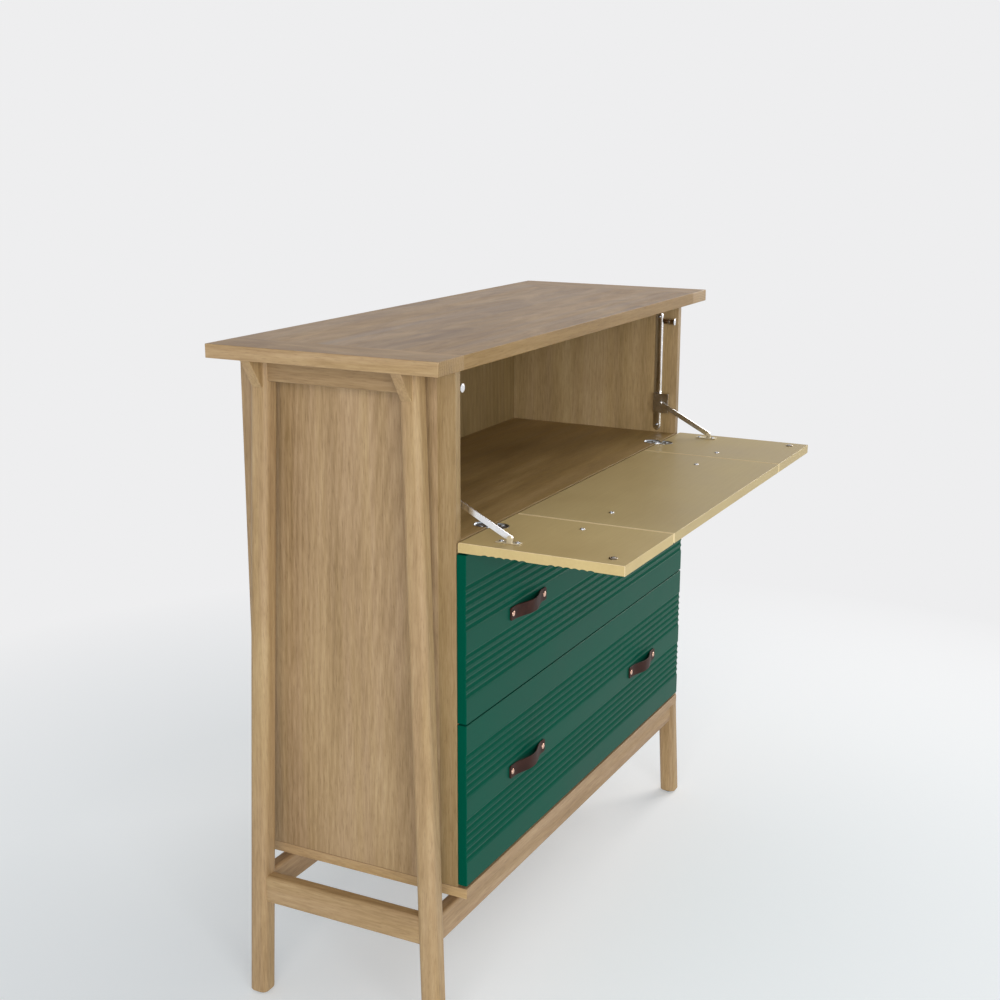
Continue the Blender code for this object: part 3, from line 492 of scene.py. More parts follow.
SIDE_OAKS = {side: wood(f"oak_side_panel_{side}", 2, PANEL_TONES, (sign * 0.497, 0.01),
                        (-sign * 0.10, 0.0), 0.010, 0.15, 0.40)
             for side, sign in SIDES.items()}
SIDE_INNER_LIT_OAK = wood("oak_side_panel_insides_painted_light", 2, LIT_INNER_TONES, (0.0, 0.14), ring=0.012,
                      ring_tone=0.14)
SIDE_SHADED_BAND_OAK = wood("oak_side_panel_fronts_painted_shade", 2, SHADED_BAND_TONES, (0.0, 0.14), ring=0.012,
                     ring_tone=0.16)
BACK_OAK = wood("oak_back_panel", 2, BACK_TONES, (-0.10, 0.0), (0.0, 0.06), 0.012, 0.14)
SHELF_OAK = wood("oak_shelf", 0, SHELF_TONES, (0.16, 0.40), (0.0, 0.04), 0.014, 0.12,
                 streak_tone=0.45, cloud_tone=0.55, fibre_tone=0.28)
SHELF_EDGE_LIT_OAK = wood("oak_shelf_edge_painted_light", 0, JOINT_LIT_TONES, (0.16, 0.40), (0.0, 0.04))
BOX_LONG = wood("box_wood_lengthwise", 0, BOX_TONES, (0.2, 0.1))
BOX_CROSS = wood("box_wood_crosswise", 1, BOX_TONES, (0.2, 0.1))
GREEN = lacquer("green_lacquer", ((0, 75, 58), (2, 82, 64)), (0.32, 0.42), 0.066, 0.00002)
# Painted shade: a slightly darker, far less glossy copy of the green for the hollows of the
# grooves, where the gloss is lost
GROOVE_SHADE_GREEN = lacquer("green_lacquer_groove_shade", ((0, 74, 56), (1, 81, 62)), (0.40, 0.50),
                       0.014, 0.00002)
CREAM_LOOK = ((0.38, 0.5), 0.22, 0.00003)
CREAM_GRAIN = (14.0, 260.0, 260.0)
CREAM = lacquer("cream_lacquer", ((184, 163, 114), (199, 180, 129)), *CREAM_LOOK, CREAM_GRAIN)
# Painted light: a lighter copy of the cream for the left flap board
LEFT_LIT_CREAM = lacquer("cream_lacquer_left_painted_light", ((193, 170, 118), (208, 187, 133)), *CREAM_LOOK,
                     CREAM_GRAIN)
# Painted highlight: a paler cream for the roundings at the flap boards' seams and rear edge
SEAM_HIGHLIGHT_CREAM = lacquer("cream_lacquer_painted_highlight", ((224, 202, 156), (233, 213, 168)), *CREAM_LOOK)
FLAP_LOOKS = [CREAM, GREEN, GROOVE_SHADE_GREEN, SEAM_HIGHLIGHT_CREAM]
LEATHER = leather("brown_leather", (48, 28, 23), (68, 42, 35), 0.10)
COPPER = metal("copper", (222, 176, 152), (238, 200, 180), (0.2, 0.32))
NICKEL = metal("nickel", (176, 179, 184), (198, 201, 206), (0.24, 0.34))
STEEL = metal("bright_steel", (228, 229, 231), (242, 243, 244), (0.16, 0.24))
BLOCK_NICKEL = metal("block_nickel", (220, 218, 212), (236, 234, 228), (0.18, 0.26))
RAIL_STEEL = metal("rail_steel", (232, 232, 232), (244, 244, 244), (0.10, 0.15))
CUP_STEEL = metal("cup_steel", (158, 165, 172), (182, 189, 195), (0.30, 0.40))
PLATE_STEEL = metal("plate_steel", (206, 196, 168), (222, 212, 186), (0.5, 0.6))
CATCH_METAL = metal("catch_nickel", (168, 152, 130), (194, 178, 156), (0.16, 0.26))
DARK_METAL = metal("dark_nickel", (112, 102, 88), (140, 129, 114), (0.2, 0.32))
DARK_PLASTIC = moulded("dark_plastic", (38, 36, 34), (52, 50, 46), (0.45, 0.6))


# Mesh forms


def board_mesh(low, high, edge, steps=BOARD_STEPS):
    """A board between two corners, its edges rounded."""
    bm = bmesh.new()
    bmesh.ops.create_cube(bm, size=1)
    bmesh.ops.scale(bm, vec=Vector(high) - Vector(low), verts=bm.verts)
    bmesh.ops.translate(bm, vec=(Vector(low) + Vector(high)) / 2, verts=bm.verts)
    return soften(bm, edge, steps)


def soften(bm, width, steps=BOARD_STEPS):
    """Rounds every sharp edge of a form."""
    bmesh.ops.recalc_face_normals(bm, faces=bm.faces)
    edges = [edge for edge in bm.edges if edge.calc_face_angle(0) > math.radians(SHARP_EDGE)]
    bmesh.ops.bevel(bm, geom=edges, offset=width, offset_type="OFFSET", segments=steps,
                    profile=0.5, affect="EDGES", clamp_overlap=True)
    return bm


def loft(rings, marks=None):
    """A closed form through rings of points. Marks give each strip of faces its material."""
    bm = bmesh.new()
    loops = [[bm.verts.new(point) for point in ring] for ring in rings]
    for first, second in zip(loops, loops[1:]):
        for number in range(len(first)):
            before = number - 1
            face = bm.faces.new((first[before], first[number], second[number], second[before]))
            if marks:
                face.material_index = marks[number]
    bm.faces.new(loops[0])
    bm.faces.new(loops[-1][::-1])
    return bm


def prism(outline, low, high, place):
    """An outline of (a, b) drawn from low to high along the third direction."""
    return loft([[place(a, b, along) for a, b in outline] for along in (low, high)])


def turned(bm, centre, axis, profile, steps=TURN_STEPS):
    """Adds a round form: a profile of (radius, distance along the axis), closed at both ends."""
    centre = Vector(centre)
    turn = UP.rotation_difference(Vector(axis)).to_matrix()
    loops = []
    for radius, along in profile:
        count = steps if radius > 0 else 1
        loop = []
        for step in range(count):
            angle = 2 * math.pi * step / count
            flat = Vector((radius * math.cos(angle), radius * math.sin(angle), along))
            loop.append(bm.verts.new(centre + turn @ flat))
        loops.append(loop)
    for first, second in zip(loops, loops[1:]):
        for step in range(steps):
            corners = [first[step % len(first)], first[(step + 1) % len(first)],
                       second[(step + 1) % len(second)], second[step % len(second)]]
            bm.faces.new(list(dict.fromkeys(corners)))
    for loop in (loops[0], loops[-1]):
        if len(loop) > 1:
            bm.faces.new(loop)
    return bm


def dome_profile(radius, height, sink):
    """A domed head that starts sunk below the face it sits on."""
    dome = [(radius * cosine, height * sine) for cosine, sine in quarter(DOME_STEPS)[:-1]]
    return [(radius, -sink)] + dome + [(0.0, height)]


def screw_profile(radius, height):
    """A domed screw head with a round recess in its middle."""
    recess = radius * RECESS_SHARE
    return [(radius, -SCREW_SINK), (radius, height * 0.25), (radius * 0.92, height * 0.55),
            (radius * 0.72, height * 0.86), (recess, height), (recess * 0.8, height * 0.55),
            (0.0, height * 0.45)]


def quarter(steps):
    """Cosine and sine of evenly spaced angles from 0 to 90 degrees."""
    angles = [math.pi / 2 * step / steps for step in range(steps + 1)]
    return [(math.cos(angle), math.sin(angle)) for angle in angles]


def arc(centre, radius, start, end, steps):
    """Points on an arc, its angles in degrees, both ends included."""
    angles = [math.radians(start + (end - start) * step / steps) for step in range(steps + 1)]
    return [(centre[0] + radius * math.cos(angle), centre[1] + radius * math.sin(angle))
            for angle in angles]


def make_mesh(name, bm, materials=()):
    """Turns a form into a mesh with its materials."""
    mesh = bpy.data.meshes.new(name)
    bm.to_mesh(mesh)
    bm.free()
    for material in materials:
        mesh.materials.append(material)
    return mesh


def make_object(name, data):
    made = bpy.data.objects.new(name, data)
    bpy.context.scene.collection.objects.link(made)
    return made


def cut_at(bm, place, normal, **more):
    """Splits the faces of a form along a plane."""
    parts = bm.verts[:] + bm.edges[:] + bm.faces[:]
    return bmesh.ops.bisect_plane(bm, geom=parts, plane_co=place, plane_no=normal, **more)


def carve(bm, cutter, materials):
    """Cuts one closed form out of another."""
    helpers = []
    for form in (bm, cutter):
        bmesh.ops.recalc_face_normals(form, faces=form.faces)
        helpers.append(make_object("helper", make_mesh("helper", form, materials)))
    modifier = helpers[0].modifiers.new("carve", "BOOLEAN")
    modifier.operation = "DIFFERENCE"
    modifier.solver = "EXACT"
    modifier.object = helpers[1]
    bpy.context.view_layer.update()
    graph = bpy.context.evaluated_depsgraph_get()
    carved = bmesh.new()
    carved.from_mesh(helpers[0].evaluated_get(graph).to_mesh())
    for mesh in [helper.data for helper in helpers]:
        bpy.data.meshes.remove(mesh)
    return carved


def body_of(node):
    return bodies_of(frame["nodes"][node])[0]


def middle_of(node):
    low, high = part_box(node)
    return (low + high) / 2


def piece(name, bm, materials, body, nodes=(), smooth=SMOOTH_BELOW):
    """Makes a form into a piece that rides on a body and stands for its CAD nodes."""
    bmesh.ops.recalc_face_normals(bm, faces=bm.faces)
    mesh = make_mesh(name, bm, materials if isinstance(materials, list) else [materials])
    mesh.shade_smooth()
    mesh.set_sharp_from_angle(angle=math.radians(smooth))
    made = make_object(name, mesh)
    weighted = made.modifiers.new("even_normals", "WEIGHTED_NORMAL")
    weighted.keep_sharp = True
    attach(made, body)
    if nodes:
        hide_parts(*nodes)


def dress(node, bm, materials, smooth=SMOOTH_BELOW):
    """Makes a form into the piece that stands for one node."""
    piece(node + "_look", bm, materials, body_of(node), [node], smooth)


def board(node, material, edge, steps=BOARD_STEPS, grow=(0, 0, 0)):
    """A rounded board in a node's box, grown at its hidden ends where asked."""
    low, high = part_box(node)
    grow = Vector(grow)
    dress(node, board_mesh(low - grow, high + grow, edge, steps), material)


def build_screws(name, places, axis, size, body):
    heads = bmesh.new()
    for place in places:
        turned(heads, place, axis, screw_profile(*size))
    piece(name, heads, NICKEL, body)


# Legs and what joins them


def leg_axis(node):
    """The middle of a leg at its foot and at its top."""
    middles = []
    for level in [corner.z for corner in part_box(node)]:
        near = [vert.co for vert in frame["nodes"][node].data.vertices
                if abs(vert.co.z - level) < LEVEL_REACH]
        xs, ys = [place.x for place in near], [place.y for place in near]
        middles.append(Vector(((min(xs) + max(xs)) / 2, (min(ys) + max(ys)) / 2, level)))
    return middles


def rounded_square(half, corner):
    points = []
    for quarter in range(4):
        angle = math.radians(90 * quarter + 45)
        across = (half - corner) * math.sqrt(2)
        centre = (across * math.cos(angle), across * math.sin(angle))
        points += arc(centre, corner, 90 * quarter, 90 * quarter + 90, LEG_CORNER_STEPS)
    return points


def leg_start(node):
    """The height at which a leg begins above its glide: its second level of vertices."""
    levels = sorted({round(vert.co.z, 4) for vert in frame["nodes"][node].data.vertices})
    return next(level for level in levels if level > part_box(node)[0].z + LEAST_GLIDE)


def build_leg(side, end):
    """A splayed leg with level ends and a chamfer round its foot, and its glide."""
    node = f"{end}_leg_{side}"
    foot, top = leg_axis(node)
    start = leg_start(node)
    turn = UP.rotation_difference(top - foot).to_matrix()
    axis = turn @ UP

    def ring(level, inset):
        points = []
        for x, y in rounded_square(LEG_SIZE / 2 - inset, LEG_CORNER - inset):
            point = foot + turn @ Vector((x, y, 0))
            points.append(point + axis * ((level - point.z) / axis.z))
        return points

    rings = [ring(start, FOOT_CHAMFER), ring(start + FOOT_CHAMFER / 3, FOOT_CHAMFER / 3),
             ring(start + FOOT_CHAMFER, 0), ring((foot.z + top.z) / 2, 0), ring(top.z, 0)]
    dress(node, loft(rings), LEG_OAK)
    profile = [(GLIDE_RADIUS * 0.9, 0), (GLIDE_RADIUS, start * 0.25),
               (GLIDE_RADIUS, start + GLIDE_SINK)]
    glide = turned(bmesh.new(), (foot.x, foot.y, 0), UP, profile)
    piece(f"{end}_glide_{side}", glide, DARK_PLASTIC, "cabinet")


def build_bracket(side, end):
    """A gusset on a leg's outer face, wide under the top board, its inner end in the leg."""
    sign = SIDES[side]
    node = f"{end}_bracket_{side}"
    low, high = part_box(node)
    foot, top = leg_axis(f"{end}_leg_{side}")
    centre = foot.lerp(top, ((low.z + high.z) / 2 - foot.z) / (top.z - foot.z))
    inside = centre.x + sign * LEG_SIZE / 4
    lip = centre.x + sign * (LEG_SIZE / 2 + BRACKET_LIP)
    reach = high.x if sign > 0 else low.x
    outline = [(inside, low.z), (lip, low.z), (reach, high.z), (inside, high.z)]
    bm = prism(outline, low.y, high.y, lambda x, z, y: Vector((x, y, z)))
    dress(node, soften(bm, BRACKET_ROUNDING), LEG_OAK)


def build_leg_frames():
    for side in SIDES:
        for end in ("front", "rear"):
            build_leg(side, end)
            build_bracket(side, end)
        board(f"top_rail_{side}", RAIL_OAK, RAIL_ROUNDING, grow=(0, TENON, 0))
        board(f"side_stretcher_{side}", CROSS_OAK, STRETCHER_ROUNDING, STRETCHER_STEPS,
              (0, TENON, 0))
    for end in ("front", "rear"):
        board(f"{end}_stretcher", LONG_OAK, STRETCHER_ROUNDING, STRETCHER_STEPS,
              (TENON, 0, 0))


# Case


def cup_place(node):
    """Where the middle of a hinge cup's circle lies, and how deep the cup reaches."""
    low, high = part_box(node)
    y = high.y - CUP_RADIUS if "shelf" in node else low.y + CUP_RADIUS
    return (low.x + high.x) / 2, y, DESK_Z - low.z


def pocket(node):
    """The form that makes room for a hinge cup in its board."""
    x, y, depth = cup_place(node)
    radius = CUP_RADIUS + POCKET_PLAY
    profile = [(radius, -depth - POCKET_PLAY), (radius, POCKET_RISE)]
    return turned(bmesh.new(), (x, y, DESK_Z), UP, profile, CUP_STEPS)


def build_shelf():
    """The shelf with its hinge pockets, and painted light on the edge beside the flap: its own
    tone, set lighter against the shade in the gap.
    """
    bm = board_mesh(SHELF_LOW, SHELF_HIGH, SHELF_ROUNDING)
    oaks = [SHELF_OAK, SHELF_EDGE_LIT_OAK]
    for side in SIDES:
        bm = carve(bm, pocket(f"hinge_shelf_cup_{side}"), oaks)
    bm.normal_update()
    edge_y = SHELF_LOW.y + SHELF_ROUNDING
    for face in bm.faces:
        if face.normal.y < -FACING and face.calc_center_median().y < edge_y:
            face.material_index = 1
    dress("desk_shelf", bm, oaks)


def build_top():
    """The top board, with a cross board at each end that shows end grain at the front."""
    top = board_mesh(TOP_LOW, TOP_HIGH, TOP_ROUNDING)
    seams = (TOP_LOW.x + TOP_END_WIDTH, TOP_HIGH.x - TOP_END_WIDTH)
    for x in seams:
        cut_at(top, (x, 0, 0), (1, 0, 0))
    for face in top.faces:
        middle = face.calc_center_median().x
        at_end = middle < seams[0] or middle > seams[1]
        if abs(face.normal.x) > TOP_FACING:
            face.material_index = 4
        elif abs(face.normal.y) > TOP_FACING:
            face.material_index = 3 if at_end else 2
        else:
            face.material_index = 1 if at_end else 0
    oaks = [TOP_OAK, TOP_END_OAK, EDGE_OAK, END_GRAIN_OAK, CROSS_OAK]
    dress("top_board", top, oaks)


def build_side_panel(side):
    """A case side, its outer face painted darker beside the opening, past the front leg: painted
    shade of the front leg.
    """
    node = f"side_panel_{side}"
    low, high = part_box(node)
    panel = board_mesh(low, high, BOARD_ROUNDING)
    seam = low.y + SHADED_BAND_WIDTH
    cut_at(panel, (0, seam, 0), (0, 1, 0))
    panel.normal_update()
    for face in panel.faces:
        outwards = face.normal.x * SIDES[side]
        in_shaded_band = outwards > -PANEL_FACING and face.calc_center_median().y < seam
        # Inner faces take painted light, a lighter oak; the strip in front of the front leg takes
        # painted shade, a darker oak
        face.material_index = 2 if outwards < -PANEL_FACING else 1 if in_shaded_band else 0
    oaks = [SIDE_OAKS[side], SIDE_SHADED_BAND_OAK, SIDE_INNER_LIT_OAK]
    dress(node, panel, oaks)


def build_case():
    build_top()
    bottom = board_mesh(*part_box("bottom_board"), BOARD_ROUNDING)
    # The ends take painted light, a lighter oak than the board's own
    mark_ends(bottom, 1)
    dress("bottom_board", bottom, [LONG_OAK, END_OAK])
    for side in SIDES:
        build_side_panel(side)
    board("back_panel", BACK_OAK, THIN_ROUNDING)
    build_shelf()


# Grooved fronts


def mark_ends(bm, index):
    """Gives the faces that look along X another material."""
    bm.normal_update()
    for face in bm.faces:
        if abs(face.normal.x) > FACING:
            face.material_index = index


def groove_pitch(height):
    return height * BAND_SPAN_SHARE / (GROOVES_PER_BAND - 1)


def from_groove(distance, height):
    """How far a place on a front is from the middle of the nearest groove."""
    pitch = groove_pitch(height)
    offsets = []
    for share in BAND_SHARES:
        number = round((distance - height * share) / pitch)
        number = min(max(number, 0), GROOVES_PER_BAND - 1)
        offsets.append(abs(distance - height * share - number * pitch))
    return min(offsets)


def groove_depth(distance, height):
    """Depth of the face at a distance from the front's upper edge, before its lips soften."""
    width = groove_pitch(height) * GROOVE_WIDTH_SHARE
    depth = width * GROOVE_DEPTH_SHARE
    radius = (width**2 / 4 + depth**2) / (2 * depth)
    off = from_groove(distance, height)
    if off >= width / 2:
        return 0.0
    return math.sqrt(radius**2 - off**2) - (radius - depth)


def soft_depth(distance, height):
    """The face's depth with the grooves' lips softened."""
    depths = [groove_depth(distance + GROOVE_LIP * step / LIP_SAMPLES, height)
              for step in range(-LIP_SAMPLES, LIP_SAMPLES + 1)]
    return sum(depths) / len(depths)


def inset_depth(distance, height, inset):
    """The face's depth after the whole section has shrunk by an inset."""
    if inset <= 0:
        return soft_depth(distance, height)
    deepest = 0.0
    for step in range(-EROSION_SAMPLES, EROSION_SAMPLES + 1):
        shift = inset * step / EROSION_SAMPLES
        reach = math.sqrt(max(inset**2 - shift**2, 0.0))
        deepest = max(deepest, soft_depth(distance + shift, height) + reach)
    return deepest


def face_distances(height):
    """Where the grooved face is sampled, from its upper edge: closely in its two bands."""
    pitch = groove_pitch(height)
    distances = []
    for share in BAND_SHARES:
        start = height * share - pitch * BAND_MARGIN
        end = height * share + pitch * (GROOVES_PER_BAND - 1) + pitch * BAND_MARGIN
        count = round((end - start) / GROOVE_SAMPLE)
        distances += [start + (end - start) * step / count for step in range(count + 1)]
    return distances


def front_ring(height, inset, edge_rounding, rear_rounding):
    """A front's section: depth from the grooved face and height above its lower edge."""
    thick = FRONT_THICKNESS
    edge, rear = max(edge_rounding, inset), max(rear_rounding, inset)
    radius = max(edge_rounding - inset, LEAST_ROUNDING)
    rear_radius = max(rear_rounding - inset, LEAST_ROUNDING)
    ring = arc((edge, height - edge), radius, 90, 180, BOARD_STEPS)
    for distance in face_distances(height):
        ring.append((inset_depth(distance, height, inset), height - distance))
    ring += arc((edge, edge), radius, 180, 270, BOARD_STEPS)
    ring += arc((thick - rear, rear), rear_radius, 270, 360, REAR_STEPS)
    ring += arc((thick - edge, height - edge), radius, 0, 90, BOARD_STEPS)
    return ring


def face_marks(height, ring_length):
    """For each strip of a front: 2 in a groove's hollow, which takes the painted shade, 1 on the
    rest of the face, 0 elsewhere.
    """
    floor = groove_pitch(height) * GROOVE_SHADE_SHARE
    distances = face_distances(height)
    inner = [2 if from_groove((above + below) / 2, height) < floor else 1
             for above, below in zip(distances, distances[1:])]
    marks = [0] * BOARD_STEPS + [1, 1] + inner + [1]
    return marks + [0] * (ring_length - len(marks))


def end_rings(low_x, high_x, roundings):
    """Each ring's place along X and its inset, with each end rounded by its own radius."""
    rings = []
    for start, inwards, rounding in zip((low_x, high_x), (1, -1), roundings):
        end = [(start + inwards * rounding * (1 - sine), rounding * min(1 - cosine, LARGEST_INSET))
               for cosine, sine in quarter(END_STEPS)]
        rings += end[::-inwards]
    return rings


def grooved_form(height, low_x, high_x, edge_rounding, rear_rounding, place, roundings):
    """A grooved front lofted along X from its section."""
    sections = {}
    rings = []
    for x, inset in end_rings(low_x, high_x, roundings):
        key = round(inset, 7)
        if key not in sections:
            sections[key] = front_ring(height, inset, edge_rounding, rear_rounding)
        rings.append([place(x, depth, up) for depth, up in sections[key]])
    return loft(rings, face_marks(height, len(rings[0])))


def build_drawer(name):
    front = f"drawer_{name}_front"
    low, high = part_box(front)
    bm = grooved_form(high.z - low.z, low.x, high.x, FRONT_ROUNDING, FRONT_ROUNDING,
                      lambda x, depth, up: Vector((x, low.y + depth, low.z + up)),
                      (FRONT_ROUNDING, FRONT_ROUNDING))
    mark_ends(bm, 2)
    dress(front, bm, [GREEN, GREEN, GROOVE_SHADE_GREEN])
    board(f"drawer_{name}_bottom", BOX_LONG, THIN_ROUNDING)
    board(f"drawer_{name}_back", BOX_LONG, BOX_ROUNDING)
    for side, sign in SIDES.items():
        build_box_side(f"drawer_{name}_side_{side}", f"runner_{name}_{side}", sign)
        board(f"runner_{name}_{side}", BOX_CROSS, BOX_ROUNDING)
        build_strap(f"drawer_{name}_strap_{side}", low.y)


def build_box_side(node, runner, sign):
    """A drawer side with the groove that its runner fits."""
    low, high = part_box(node)
    rail_low, rail_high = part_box(runner)
    inner, outer = (low.x, high.x) if sign > 0 else (high.x, low.x)
    tip = (rail_low.x if sign > 0 else rail_high.x) - sign * RUNNER_END_PLAY
    groove_low, groove_high = rail_low.z - RUNNER_PLAY, rail_high.z + RUNNER_PLAY
    outline = [(inner, low.z), (outer, low.z), (outer, groove_low), (tip, groove_low),
               (tip, groove_high), (outer, groove_high), (outer, high.z), (inner, high.z)]
    bm = prism(outline, low.y, high.y, lambda x, z, y: Vector((x, y, z)))
    dress(node, soften(bm, THIN_ROUNDING), BOX_CROSS)


# Leather straps


def strap_line():
    """Points (along, height, half width) of the strap's middle line from end to end."""
    rest = STRAP_THICKNESS / 2
    half = STRAP_WIDTH / 2
    points = [(STRAP_HALF - STRAP_END_CORNER * (1 - cosine), rest,
               half - STRAP_END_CORNER * (1 - sine)) for cosine, sine in quarter(STRAP_END_STEPS)]
    points += [(along, rest, half) for along in STRAP_FLAT_STOPS]
    for step in range(STRAP_BEND_STEPS + 1):
        share = step / STRAP_BEND_STEPS
        along = STRAP_FLAT_HALF + STRAP_BEND_RUN * (1 - share)
        points.append((along, rest + STRAP_RISE * (1 - math.cos(math.pi * share)) / 2, half))
    return points + [(-along, height, width) for along, height, width in reversed(points)]


def strap_section(half_width, half_thick):
    """Rounded rectangle (across, up) of the strap."""
    edge = min(STRAP_EDGE, half_thick * 0.95)
    points = []
    for sign_across, sign_up, start in ((1, 1, 0), (-1, 1, 90), (-1, -1, 180), (1, -1, 270)):
        centre = (sign_across * (half_width - edge), sign_up * (half_thick - edge))
        points += arc(centre, edge, start, start + 90, STRAP_EDGE_STEPS)
    return points


def build_strap(node, face, under=False):
    """A strap on a front whose face lies at this Y, or under the flap whose face lies at
    this Z, and its two rivets."""
    origin = middle_of(node)
    origin[2 if under else 1] = face - STRAP_GAP

    def place(along, up, across):
        return origin + Vector((along, across, -up) if under else (along, -up, across))

    line = strap_line()
    rings = []
    for number, (along, up, half) in enumerate(line):
        before = line[max(number - 1, 0)]
        after = line[min(number + 1, len(line) - 1)]
        direction = Vector((after[0] - before[0], after[1] - before[1])).normalized()
        normal = Vector((direction.y, -direction.x))
        ring = []
        for across, rise in strap_section(half, STRAP_THICKNESS / 2):
            ring.append(place(along + normal.x * rise, up + normal.y * rise, across))
        rings.append(ring)
    dress(node, loft(rings), LEATHER, STRAP_SMOOTH_BELOW)
    outwards = place(0, 1, 0) - place(0, 0, 0)
    rivets = bmesh.new()
    for sign in (-1, 1):
        head = place(sign * RIVET_OFFSET, STRAP_THICKNESS, 0)
        turned(rivets, head, outwards, dome_profile(RIVET_RADIUS, RIVET_HEIGHT, RIVET_SINK))
    piece(node + "_rivets", rivets, COPPER, body_of(node))


# Flap


def build_flap():
    """The flap's three boards with painted highlights, a paler cream, on the roundings at their
    seams and rear edge, its straps and screws.
    """
    for side in ("left", "middle", "right"):
        node = f"flap_board_{side}"
        low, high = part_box(node)
        roundings = (FLAP_ROUNDING if side == "left" else SEAM_ROUNDING,
                     FLAP_ROUNDING if side == "right" else SEAM_ROUNDING)
        bm = grooved_form(FLAP_LENGTH, low.x, high.x, FLAP_ROUNDING, FLAP_REAR_ROUNDING,
                          lambda x, depth, up: Vector((x, FLAP_HIGH.y - up, FLAP_LOW.z + depth)),
                          roundings)
        if side != "middle":
            bm = carve(bm, pocket(f"hinge_flap_cup_{side}"), FLAP_LOOKS)
        bm.normal_update()
        for face in bm.faces:
            # Seam and rear-edge roundings take the painted highlight
            at_seam = SEAM_FACING[0] < abs(face.normal.x) < SEAM_FACING[1]
            at_rear = face.normal.y > REAR_FACING[0] and face.normal.z > REAR_FACING[1]
            if face.material_index == 0 and (at_seam or at_rear):
                face.material_index = 3
        # The left board takes the lighter cream of the painted light
        looks = [LEFT_LIT_CREAM] + FLAP_LOOKS[1:] if side == "left" else FLAP_LOOKS
        dress(node, bm, looks)
    places = []
    for side in SIDES:
        node = f"flap_strap_{side}"
        build_strap(node, FLAP_LOW.z, under=True)
        middle = middle_of(node)
        places += [(middle.x - RIVET_OFFSET, middle.y, DESK_Z),
                   (middle.x + RIVET_OFFSET, middle.y, DESK_Z)]
    build_screws("flap_screws", places, UP, FLAP_SCREW, "flap")


# Hinges


def cup_form(node, cut_y, keep):
    """A shallow cup with two screws in its floor, sunk in a board. It is cut off straight at
    cut_y on the side away from keep."""
    x, y, depth = cup_place(node)
    bm = bmesh.new()
    inner = CUP_RADIUS - CUP_WALL
    profile = [(CUP_RADIUS * 0.96, -depth), (CUP_RADIUS, -depth + 0.0008), (CUP_RADIUS, 0.0),
               (CUP_RADIUS - 0.0003, CUP_RIM), (inner + 0.0003, CUP_RIM), (inner, 0.0),
               (inner - 0.0004, -CUP_HOLLOW + 0.0006), (inner - 0.0010, -CUP_HOLLOW),
               (0.0, -CUP_HOLLOW)]
    turned(bm, (x, y, DESK_Z), UP, profile, CUP_STEPS)
    sliced = cut_at(bm, (x, cut_y, DESK_Z), (0, -keep, 0), clear_outer=True)
    rim = [item for item in sliced["geom_cut"] if isinstance(item, bmesh.types.BMEdge)]
    bmesh.ops.contextual_create(bm, geom=rim)
    for offset in (-WING_SCREW_OFFSET, WING_SCREW_OFFSET):
        place = (x + offset, y + keep * WING_SCREW_INSET, DESK_Z - CUP_HOLLOW)
        turned(bm, place, UP, screw_profile(*WING_SCREW))
    return bm


def build_hinge(side):
    """The shelf's cup with the link that reaches out of it, and the flap's cup with the pin."""
    shelf_node, flap_node = f"hinge_shelf_cup_{side}", f"hinge_flap_cup_{side}"
    x, y, _ = cup_place(shelf_node)
    pin_y, pin_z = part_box(shelf_node)[0].y + EYE_RADIUS, DESK_Z - PIN_DEPTH
    outline = [(y + LINK_REACH, pin_z - EYE_RADIUS)]
    outline += arc((pin_y, pin_z), EYE_RADIUS, 90, 270, EYE_STEPS)[::-1]
    outline += [(y - LINK_TOP_END, pin_z + EYE_RADIUS), (y + LINK_REACH, pin_z + LINK_TIP)]
    link = prism(outline, x - EYE_WIDTH / 2, x + EYE_WIDTH / 2,
                 lambda across, up, along: Vector((along, across, up)))
    soften(link, LINK_ROUNDING, 2)
    piece(f"hinge_link_{side}", link, STEEL, "cabinet", ())
    dress(shelf_node, cup_form(shelf_node, SHELF_LOW.y, 1), CUP_STEEL)
    flap_cup = cup_form(flap_node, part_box(flap_node)[1].y, -1)
    half = EYE_WIDTH / 2 + PIN_OVERHANG
    turned(flap_cup, (x - half, pin_y, pin_z), (1, 0, 0),
           [(PIN_RADIUS, 0.0), (PIN_RADIUS, 2 * half)])
    dress(flap_node, flap_cup, CUP_STEEL)


# Catches and strikes


